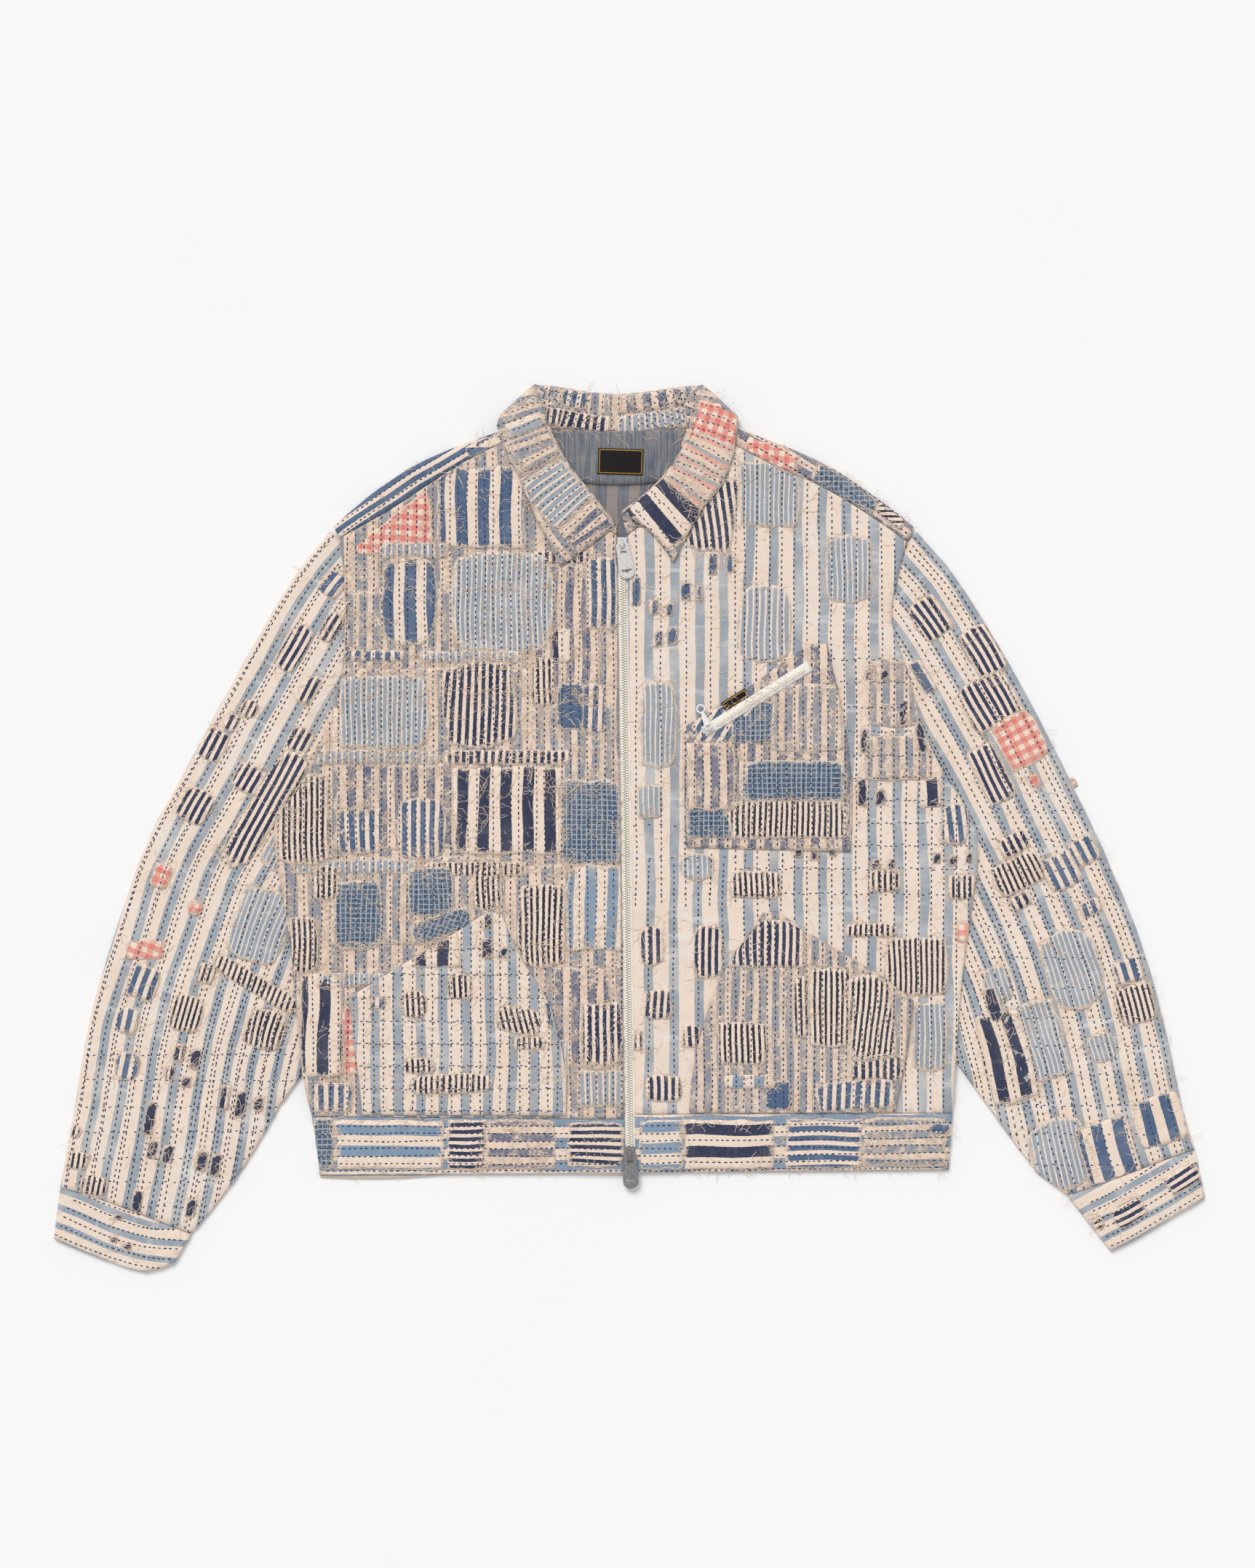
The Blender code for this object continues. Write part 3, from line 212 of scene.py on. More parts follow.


# How cloth is worn, and its painted shade: how far its stripes wander in mm, where gauze hangs and how
# strongly each mark shows
wearAndShade = {
    "sway": 9.0, "weftSway": 7.0, "ragged": 1.1, "stain": 0.22, "crease": 0.8, "yarnToneAndShade": 0.34, "mottle": 0.42,
    "gauzeStart": 0.68, "gauzeReach": 0.3, "gauzeEdge": 0.12, "gauzeLeast": 0.12, "fuzz": 0.6, "shadow": 0.5,
    "strand": 0.9, "strandHigh": 1.6, "fuzzHigh": 1.1, "edge": 0.8, "seamStart": 0.98, "seam": 0.4,
    "bump": 0.55, "bumpDepth": 0.0005,
}
strands = ((0.11, 0.022, 0.0), (0.16, 0.03, 37.0))  # gauze threads: noise scale, half width, shift
drawnStitches = {"gap": 11.0, "wide": 0.05, "pitch": 5.6}  # on the back and sleeves, their hidden sides too


def addGauze(shades, fray, place, across, along, ragged, colour, height):
    # Pale fuzz and curling threads where the cloth is worn
    mottle = shades.grain(place, 0.75, 3.0, 0.75).between(0.42, 0.6)
    colour = shades.blend(mottle * (wearAndShade["mottle"] * fray), colour, peach)
    low = wearAndShade["gauzeStart"] - wearAndShade["gauzeReach"] * fray
    holes = shades.grain(place, 0.06, 4.0, 0.7).between(low, low + wearAndShade["gauzeEdge"])
    fuzzPlace = shades.vector(across * 0.5 + ragged * 2.0, along * 0.8)
    fuzz = shades.grain(fuzzPlace, 1.0, 4.0, 0.75).between(0.4, 0.62)
    colour = shades.blend(holes * (fuzz * wearAndShade["fuzz"] + wearAndShade["gauzeLeast"]), colour, peach)
    for scale, width, seed in strands:
        swirl = shades.grain(shades.vector(across + seed, along * 0.8 - seed), scale, 1.6, 0.4)
        away = (swirl - 0.5).maths("ABSOLUTE")
        shadow = away < width * 1.9
        thread = away < width
        colour = shades.blend(shadow * holes * wearAndShade["shadow"], colour, paint(118, 110, 116))
        colour = shades.blend(thread * holes * wearAndShade["strand"], colour, paleThread)
        height = height + thread * holes * wearAndShade["strandHigh"]
    return colour, height + holes * fuzz * wearAndShade["fuzzHigh"]


def makeCloth(name, look, stitched=False):
    shades = Shades(name, roughness=0.93, sheen=0.12)
    place, (across, along, rim) = shades.weave()
    sway = shades.grain(place, 0.012, 1.0) - 0.5
    ragged = shades.grain(place, 0.55, 1.0)
    uneven = ragged - 0.5
    shifted = across + sway * wearAndShade["sway"] + uneven * wearAndShade["ragged"]
    colour = shades.ramp((shifted / look["repeat"]).maths("FRACT"), look["stripes"])
    if "weft" in look:
        repeat, share, strength, weftColour = look["weft"]
        crossing = ((along + sway * wearAndShade["weftSway"]) / repeat).maths("FRACT") < share
        colour = shades.blend(crossing * strength, colour, weftColour)
    bleached = shades.grain(place, 0.022, 3.0, 0.6).between(0.45, 0.75)
    colour = shades.blend(bleached * look["fade"], colour, paint(238, 232, 224))
    stained = shades.grain(place, 0.016, 3.0, 0.6).between(0.5, 0.8)
    colour = shades.blend(stained * wearAndShade["stain"], colour, paint(226, 192, 158), "MULTIPLY")
    creased = shades.grain(shades.vector(across * 0.012, along * 0.09), 1.0, 3.0, 0.6).between(0.56, 0.68)
    colour = shades.blend(creased * look["fade"] * wearAndShade["crease"], colour, paint(240, 236, 231))
    warp = shades.grain(shades.vector(across * 1.7, along * 0.12), 1.0, 2.0)
    weft = shades.grain(shades.vector(across * 0.12, along * 1.7), 1.0, 2.0)
    height = warp * 0.5 + weft * 0.5
    # Uneven yarn tone and painted shade: darker where the weave's bump height is low, in its hollows
    yarnToneAndShade = shades.ramp(height, ((0.3, (0.45, 0.45, 0.5, 1)), (0.7, white)), "LINEAR")
    colour = shades.blend(wearAndShade["yarnToneAndShade"], colour, yarnToneAndShade, "MULTIPLY")
    if "slub" in look:
        streaks = shades.grain(shades.vector(across * 0.55, along * 0.03), 1.0, 3.0, 0.6).between(0.4, 0.65)
        colour = shades.blend(streaks * look["slub"], colour, paint(160, 152, 142))
    if look["fray"]:
        colour, height = addGauze(shades, look["fray"], place, across, along, ragged, colour, height)
    rough = rim + uneven * 0.5
    colour = shades.blend(rough.between(0.74, 0.92) * wearAndShade["edge"], colour, paleThread)
    # Painted shadow: a dark line along a patch's outermost rim, where its edge meets the cloth under it
    colour = shades.blend((rough > wearAndShade["seamStart"]) * wearAndShade["seam"], colour, paint(140, 124, 118))
    if stitched:
        row = ((across / drawnStitches["gap"]).maths("FRACT") - 0.5).maths("ABSOLUTE") < drawnStitches["wide"]
        dash = (along / drawnStitches["pitch"]).maths("FRACT") < 0.5
        colour = shades.blend(row * dash, colour, inkNavy)
    shades.feed("Base Color", colour)
    shades.bump(height, wearAndShade["bump"], wearAndShade["bumpDepth"])
    return shades.material


materials = {}


def cloth(name, stitched=False):
    key = name + ("Stitched" if stitched else "")
    if key not in materials:
        materials[key] = makeCloth(key, cloths[name], stitched)
    return materials[key]


def makeThread(name, colour, other):
    shades = Shades(name, roughness=0.85, sheen=0.1)
    place = shades.node("ShaderNodeTexCoord", None, (), 3)
    tone = shades.grain(place, 90.0, 2.0).between(0.35, 0.65)
    shades.feed("Base Color", shades.blend(tone, colour, other))
    shades.bump(shades.grain(place, 2500.0, 2.0), 0.4, 0.0002)
    return shades.material


def makeMetal(name, colour, worn, roughness, metallic):
    shades = Shades(name, roughness=roughness, metallic=metallic)
    place = shades.node("ShaderNodeTexCoord", None, (), 3)
    scratches = shades.grain(place, 700.0, 4.0, 0.7)
    tone = scratches.between(0.4, 0.7)
    shades.feed("Base Color", shades.blend(tone, colour, worn))
    shades.feed("Roughness", tone * 0.2 + (roughness - 0.08))
    shades.bump(scratches, 0.15, 0.0002)
    return shades.material


def makeTape():
    shades = Shades("tapeWeave", roughness=0.9)
    place, (across, along, _) = shades.weave()
    twill = ((across + along.maths("PINGPONG", 1.2)) * 1.6).maths("FRACT")
    grime = shades.grain(place, 0.08, 3.0)
    colour = shades.blend(grime, paint(250, 247, 241), paint(236, 230, 221))
    colour = shades.blend(twill * 0.18, colour, paint(190, 182, 170))
    shades.feed("Base Color", colour)
    shades.bump(twill, 0.4, 0.0003)
    return shades.material


def makeLabel(name, length, height):
    # A black woven label with a thin gold border line and nothing inside it
    shades = Shades(name, roughness=0.7)
    shades.shader.inputs["Specular IOR Level"].default_value = 0.25
    _, (across, along, _) = shades.weave()
    inset = 1.3
    halfLine = 0.35
    fromEnds = length / 2 - inset - across.maths("ABSOLUTE")
    fromSides = height / 2 - inset - along.maths("ABSOLUTE")
    line = fromEnds.maths("MINIMUM", fromSides).maths("ABSOLUTE") < halfLine
    weave = (along * 2.2).maths("FRACT")
    colour = shades.blend(line, paint(20, 17, 17), gold)
    shades.feed("Base Color", shades.blend(weave * 0.3, colour, paint(34, 29, 28)))
    shades.bump(weave, 0.4, 0.0002)
    return shades.material


navyThread = makeThread("navyThread", paint(30, 38, 66), paint(54, 70, 110))
creamThread = makeThread("creamThread", paint(240, 216, 194), paint(250, 234, 218))
lightMetal = makeMetal("lightMetal", paint(206, 205, 203), paint(230, 228, 225), 0.4, 0.6)
darkMetal = makeMetal("darkMetal", paint(132, 131, 130), paint(172, 170, 166), 0.36, 0.75)
toothMetal = makeMetal("toothMetal", paint(248, 240, 222), paint(254, 251, 243), 0.45, 0.15)
tapeWeave = makeTape()
print("materials made")


# Lines that the stripes and stitches follow, in mm

curveSteps = 8  # between two of a line's points
runOn = 50.0  # how many steps a line goes on for beyond each end


class Trail:
    # A smooth line on the table: across is the distance to its left, along the distance down it
    def __init__(self, points):
        fine = []
        last = len(points) - 1
        for index in range(last):
            group = [np.array(points[min(max(index + k, 0), last)], float) for k in (-1, 0, 1, 2)]
            for step in range(curveSteps):
                t = step / curveSteps
                fine.append(0.5 * (2 * group[1] + (group[2] - group[0]) * t
                                   + (2 * group[0] - 5 * group[1] + 4 * group[2] - group[3]) * t * t
                                   + (3 * group[1] - group[0] - 3 * group[2] + group[3]) * t ** 3))
        fine.append(np.array(points[-1], float))
        self.points = np.array(fine)
        self.steps = np.diff(self.points, axis=0)
        self.lengths = np.hypot(self.steps[:, 0], self.steps[:, 1])
        self.starts = np.concatenate(([0.0], np.cumsum(self.lengths)))[:-1]
        self.total = float(self.lengths.sum())

    def read(self, x, y):
        # Across and along for arrays of points; the line runs on straight beyond its ends
        across = np.zeros(len(x))
        along = np.zeros(len(x))
        best = np.full(len(x), 1e9)
        last = len(self.steps) - 1
        for index, (start, step, length) in enumerate(zip(self.points, self.steps, self.lengths)):
            dx = x - start[0]
            dy = y - start[1]
            share = (dx * step[0] + dy * step[1]) / length ** 2
            low = -runOn if index == 0 else 0.0
            high = runOn if index == last else 1.0
            held = np.clip(share, low, high)
            distance = np.hypot(dx - held * step[0], dy - held * step[1])
            side = np.sign(step[0] * dy - step[1] * dx)
            nearer = distance < best
            best = np.where(nearer, distance, best)
            across = np.where(nearer, side * distance, across)
            along = np.where(nearer, self.starts[index] + held * length, along)
        return across, along

    def at(self, along, across):
        # x, y and the line's heading
        index = int(np.clip(np.searchsorted(self.starts, along) - 1, 0, len(self.steps) - 1))
        step = self.steps[index] / self.lengths[index]
        run = along - self.starts[index]
        x = self.points[index][0] + step[0] * run - step[1] * across
        y = self.points[index][1] + step[1] * run + step[0] * across
        return x, y, math.atan2(step[1], step[0])


trails = {
    "body": Trail(((0, 400), (0, -320))),
    "sleeveRight": Trail(((-238, 296), (-265, 262), (-300, 217), (-345, 139), (-386, 62), (-428, -15),
                          (-455, -93), (-478, -170), (-491, -248), (-504, -320))),
    "sleeveLeft": Trail(((228, 294), (255, 261), (292, 217), (339, 139), (380, 62), (417, -15), (450, -93),
                         (473, -170), (489, -246), (501, -286))),
    "cuffRight": Trail(((-510, -365), (-482, -377), (-455, -387), (-428, -394), (-402, -396))),
    "cuffLeft": Trail(((426, -376), (447, -366), (467, -354), (489, -341), (510, -328))),
    "yokeRight": Trail(((-262, 250), (-190, 300), (-105, 350))),
    "yokeLeft": Trail(((96, 352), (180, 302), (252, 250))),
    "band": Trail(((-285, -257), (0, -257), (290, -254))),
    "collar": Trail(((-8, 262), (-17, 277), (-33, 295), (-50, 315), (-63, 335), (-70, 353), (-78, 374),
                     (-80, 390), (-60, 390), (-37, 385), (-8, 383), (22, 386), (45, 390), (62, 390),
                     (63, 386), (60, 371), (50, 345), (42, 330), (32, 312), (16, 296), (-10, 277))),
}

# Creases pressed and folded into the cloth, from x, y to x, y in mm, half width, height; negative is a trough
creases = (
    (-246, 150, -226, 96, 5.0, 1.5), (-236, 152, -217, 92, 4.0, -0.8), (-258, 84, -212, 116, 5.0, 1.2),
    (-262, 66, -196, 58, 6.0, 1.1), (-238, 40, -170, 20, 7.0, 0.8), (-252, 180, -238, 228, 5.0, 1.0),
    (-276, -96, -232, -84, 5.0, 0.9), (-288, -120, -250, -146, 5.0, 1.0), (-60, 236, -34, 170, 7.0, 0.7),
    (-150, 66, -90, 58, 6.0, 0.5), (-80, -96, -40, -118, 5.0, 0.8), (-30, -230, -12, -270, 4.0, 1.0),
    (-52, -246, -26, -286, 4.0, 0.9), (-90, -270, -20, -276, 4.0, 0.7), (-64, -290, -14, -296, 4.0, -0.7),
    (216, 178, 230, 116, 5.0, 1.5), (228, 190, 240, 128, 4.0, -0.8), (206, 224, 224, 190, 5.0, 1.0),
    (236, 96, 200, 66, 6.0, 0.9), (262, -36, 238, -66, 5.0, 1.2), (268, -60, 262, -140, 4.0, 1.0),
    (146, 236, 120, 196, 8.0, 0.5), (20, 130, 60, 132, 4.0, 0.5), (20, -20, 100, -26, 5.0, 0.5),
    (40, -150, 66, -212, 6.0, 0.7), (140, -60, 200, -76, 6.0, 0.5), (-262, 214, -290, 160, 6.0, 1.2),
    (-284, 150, -318, 92, 7.0, 1.0), (-276, 120, -300, 40, 6.0, 1.4), (-300, 30, -352, -30, 7.0, 1.2),
    (-310, -10, -346, -84, 6.0, 1.5), (-322, -16, -356, -84, 4.0, -0.9), (-296, -120, -350, -134, 6.0, 1.3),
    (-300, -150, -372, -176, 7.0, 1.1), (-336, -130, -452, -146, 6.0, 0.8),
    (-330, -220, -420, -206, 6.0, 1.0), (-400, -226, -484, -236, 5.0, 0.8),
    (-380, -300, -450, -290, 6.0, 0.8), (-410, -40, -440, -100, 7.0, 0.8), (256, 214, 284, 158, 6.0, 1.2),
    (274, 148, 300, 92, 7.0, 1.0), (264, 116, 296, 40, 6.0, 1.4), (298, 40, 330, -30, 7.0, 1.2),
    (306, -12, 330, -90, 6.0, 1.4), (318, -20, 340, -92, 4.0, -0.9), (300, -130, 356, -120, 6.0, 1.2),
    (304, -160, 380, -180, 7.0, 1.1), (330, -110, 440, -96, 6.0, 0.8), (346, -226, 430, -206, 6.0, 1.0),
    (392, -220, 480, -214, 5.0, 0.8), (392, -280, 450, -268, 6.0, 0.7), (400, -30, 430, -96, 7.0, 0.8),
)


# The cloth stays flat beside zips and labels: x, y to x, y and half width in mm
calmLines = ((-6.5, 266, 0.6, -330, 10.0), (62, 80, 162, 143, 9.0), (58, 104, 74, 100, 8.0),
             (-28, 323, 13, 322, 14.0), (80, 104, 106, 120, 7.0))
calmReach = 9.0  # mm in which the creases come back
puckerHigh = 0.6  # mm that the stitching draws the cloth up


def ripple(*place):
    return noise.noise(Vector(place))


def nearLine(x, y, ends):
    # Share along a line and distance from it, for arrays of points
    x0, y0, x1, y1 = ends
    along = ((x - x0) * (x1 - x0) + (y - y0) * (y1 - y0)) / ((x1 - x0) ** 2 + (y1 - y0) ** 2)
    held = np.clip(along, 0.0, 1.0)
    return along, np.hypot(x - x0 - (x1 - x0) * held, y - y0 - (y1 - y0) * held)


def calmness(x, y):
    share = np.ones(len(x))
    for *ends, half in calmLines:
        _, reach = nearLine(x, y, ends)
        share = np.minimum(share, np.clip((reach - half) / calmReach, 0.0, 1.0))
    return share * share * (3 - 2 * share)


def relief(x, y):
    # The creases' height over arrays of points, and the small puckers that the stitching draws up
    total = np.zeros(len(x))
    for *ends, half, height in creases:
        along, reach = nearLine(x, y, ends)
        total += height * np.clip(1.0 - np.abs(along - 0.5) * 0.9, 0.3, 1.0) * np.exp(-(reach / half) ** 2)
    puckers = np.array([ripple(a * 0.055, b * 0.09, 3.0) + 0.6 * ripple(a * 0.15, b * 0.2, 7.0)
                        for a, b in zip(x, y)])
    return (total + puckers * puckerHigh) * calmness(x, y)


# Cloth pieces: a finer copy of each solid, with its creases. step is the mesh's edge in mm. Lifted pieces lie
# on others, so that their underside rises too. inside is the look of the faces that point up, and stripes run
# across a swapped piece's line.
clothPieces = {
    "back_panel": {"look": "wideStripe", "inside": "backInside", "trail": "body", "step": 11,
                   "stitched": True},
    "sleeve_right": {"look": "wideStripe", "trail": "sleeveRight", "step": 6, "stitched": True},
    "sleeve_left": {"look": "wideStripe", "trail": "sleeveLeft", "step": 6, "stitched": True},
    "cuff_right": {"look": "cuffStripe", "trail": "cuffRight", "step": 5},
    "cuff_left": {"look": "cuffStripe", "trail": "cuffLeft", "step": 5},
    "hem_band_back": {"look": "wideStripe", "trail": "band", "step": 8},
    "front_right": {"look": "gauzeStripe", "trail": "body", "step": 5, "lifted": True},
    "front_left": {"look": "wideStripe", "trail": "body", "step": 5, "lifted": True},
    "hem_band_right": {"look": "skyWide", "trail": "band", "step": 5, "lifted": True},
    "hem_band_left": {"look": "skyWide", "trail": "band", "step": 5, "lifted": True},
    "shoulder_yoke_right": {"look": "royalPin", "trail": "yokeRight", "step": 5, "lifted": True},
    "shoulder_yoke_left": {"look": "gauzeDark", "trail": "yokeLeft", "step": 5, "lifted": True},
    "neck_facing": {"look": "chambray", "trail": "body", "step": 8},
    "collar": {"look": "gauzeFine", "trail": "collar", "step": 5, "lifted": True, "swapped": True},
    "hand_pocket_right": {"look": "brightStripe", "trail": "body", "step": 5, "lifted": True},
    "hand_pocket_left": {"look": "gauzeFine", "trail": "body", "step": 5, "lifted": True},
    "chest_pocket": {"look": "gauzeDark", "trail": "body", "step": 5, "lifted": True},
    "zip_tape_right": {"material": tapeWeave, "trail": "body", "step": 8},
    "zip_tape_left": {"material": tapeWeave, "trail": "body", "step": 8},
    "pocket_zip_tape": {"material": tapeWeave, "trail": "body", "step": 5, "lifted": True},
}
shells = {}


# A shell's mesh: edges over longest steps are split, points count as top or rim by how far their faces point
# up, the top is smoothed, a lifted underside rises a little less, and the rim is pressed down by rimDrop mm
shellWork = {"rounds": 9, "longest": 1.5, "splitFacing": 0.1, "topFacing": 0.35, "rimFacing": 0.6,
             "smoothRounds": 6, "kept": 0.4, "drawn": 0.6, "underside": 0.98, "rimDrop": 0.35}


def show(name, data):
    thing = bpy.data.objects.new(name, data)
    bpy.context.scene.collection.objects.link(thing)
    return thing


def makeMesh(name, points, faces):
    # From points in mm
    mesh = bpy.data.meshes.new(name)
    mesh.from_pydata([(x * mm, y * mm, z * mm) for x, y, z in points], [], faces)
    return mesh


def faceCount(pieces):
    return sum(len(piece.data.polygons) for piece in pieces.values())


def store(piece, values):
    # Each point's place on the cloth, which the materials read
    attributes = piece.data.attributes
    if "cloth" not in attributes:
        attributes.new("cloth", "FLOAT_VECTOR", "POINT")
    attributes["cloth"].data.foreach_set("vector", np.asarray(values, np.float32).ravel())


def addPiece(name, mesh, material, node=None, body="root"):
    piece = show(name, mesh)
    if not mesh.materials:
        mesh.materials.append(material)
    mesh.shade_smooth()
    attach(piece, body)
    if node:
        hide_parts(node)
    return piece


def splitEdges(work, step):
    for _ in range(shellWork["rounds"]):
        longEdges = [edge for edge in work.edges if edge.calc_length() > step * shellWork["longest"]
                     and any(face.normal.z > shellWork["splitFacing"] for face in edge.link_faces)]
        if not longEdges:
            break
        bmesh.ops.subdivide_edges(work, edges=longEdges, cuts=1, use_grid_fill=False)
        bmesh.ops.triangulate(work, faces=[face for face in work.faces if len(face.verts) > 3])


def smoothTop(points, pairs, top):
    # Draws each top point towards its neighbours' mean height
    count = np.zeros(len(points))
    np.add.at(count, pairs[:, 0], 1)
    np.add.at(count, pairs[:, 1], 1)
    for _ in range(shellWork["smoothRounds"]):
        total = np.zeros(len(points))
        np.add.at(total, pairs[:, 0], points[pairs[:, 1], 2])
        np.add.at(total, pairs[:, 1], points[pairs[:, 0], 2])
        drawn = shellWork["kept"] * points[:, 2] + shellWork["drawn"] * total / np.maximum(count, 1)
        points[:, 2] = np.where(top & (count > 0), drawn, points[:, 2])


def makeShell(node, settings):
    work = bmesh.new()
    work.from_mesh(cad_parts[node].data)
    bmesh.ops.remove_doubles(work, verts=work.verts, dist=1e-6)
    bmesh.ops.scale(work, vec=(1000, 1000, 1000), verts=work.verts)
    splitEdges(work, settings["step"])
    work.normal_update()
    work.verts.index_update()
    top = np.array([all(face.normal.z > shellWork["topFacing"] for face in vert.link_faces)
                    for vert in work.verts])
    rim = np.array([any(face.normal.z > shellWork["rimFacing"] for face in vert.link_faces) and not inner
                    for vert, inner in zip(work.verts, top)])
    pairs = np.array([[vert.index for vert in edge.verts] for edge in work.edges])
    points = np.array([vert.co for vert in work.verts])
    upper = top | rim
    smoothTop(points, pairs[upper[pairs[:, 0]] & upper[pairs[:, 1]]], top)
    raised = relief(points[:, 0], points[:, 1])
    below = np.maximum(raised, 0.0) * shellWork["underside"] if settings.get("lifted") else 0.0
    points[:, 2] += np.where(top, raised, below)
    points[:, 2] -= np.where(rim, shellWork["rimDrop"], 0.0)
    for vert, place in zip(work.verts, points):
        vert.co = place * mm
    mesh = bpy.data.meshes.new(node + "_cloth")
    work.to_mesh(mesh)
    work.free()
    mesh.validate()
    material = settings.get("material") or cloth(settings["look"], settings.get("stitched", False))
    piece = addPiece(node + "_cloth", mesh, material, node)
    if "inside" in settings:
        mesh.materials.append(cloth(settings["inside"]))
        for face in mesh.polygons:
            face.material_index = int(face.normal.z > shellWork["topFacing"])
    across, along = trails[settings["trail"]].read(points[:, 0], points[:, 1])
    if settings.get("swapped"):
        across, along = along, across
    store(piece, np.stack((across, along, np.zeros(len(across))), 1))
    shells[node] = piece
    return piece


for node, settings in clothPieces.items():
    makeShell(node, settings)
print("cloth shells made", faceCount(shells))


# Labels have their own place on the weave: middle x and y, turn in degrees, length and height in mm

labels = {"neck_label": (-7.7, 322.6, -2.0, 40.0, 23.0), "pocket_label": (93.6, 112.2, 32.1, 25.0, 8.0)}


def makeLabelPiece(node, middleX, middleY, turn, length, height):
    material = makeLabel(node + "_weave", length, height)
    piece = makeShell(node, {"material": material, "trail": "body", "step": 3, "lifted": True})
    points = np.array([vert.co for vert in piece.data.vertices]) * 1000
    angle = math.radians(turn)
    x = points[:, 0] - middleX
    y = points[:, 1] - middleY
    across = x * math.cos(angle) + y * math.sin(angle)
    along = y * math.cos(angle) - x * math.sin(angle)
    store(piece, np.stack((across, along, x * 0), 1))


for node, sizes in labels.items():
    makeLabelPiece(node, *sizes)


# What lies under a point

skyHigh = 100.0  # mm, above everything


class Ground:
    def __init__(self, pieces):
        points = []
        faces = []
        self.owners = []
        for name, piece in pieces.items():
            first = len(points)
            points += [vert.co * 1000 for vert in piece.data.vertices]
            for face in piece.data.polygons:
                faces.append([first + index for index in face.vertices])
                self.owners.append(name)
        self.tree = BVHTree.FromPolygons(points, faces)

    def under(self, x, y):
        hit = self.tree.ray_cast(Vector((x, y, skyHigh)), Vector((0.0, 0.0, -1.0)))
        if hit[0] is None:
            return None, None
        return hit[0].z, self.owners[hit[2]]


bareGround = Ground(shells)
carrierGrounds = {}
settling = {"steps": 15, "tucked": 0.02, "low": 0.4}


def settle(carrier, x, y, middle, lift):
    # A patch's point on its carrier, drawn in where the carrier ends and tucked under what covers it
    if carrier not in carrierGrounds:
        carrierGrounds[carrier] = Ground({carrier: shells[carrier]})
    for step in range(settling["steps"]):
        share = step / settling["steps"]
        here = (x + (middle[0] - x) * share, y + (middle[1] - y) * share)
        z, _ = carrierGrounds[carrier].under(*here)
        if z is not None:
            break
    if z is None:
        return x, y, settling["low"]
    _, owner = bareGround.under(*here)
    return here[0], here[1], z + (lift if owner == carrier else settling["tucked"])


# Patches: cloth, middle x and y, width, height, roundness, and turn in degrees where there is one. A negative
# roundness marks a patch that is cut slanting, narrow at its left end.

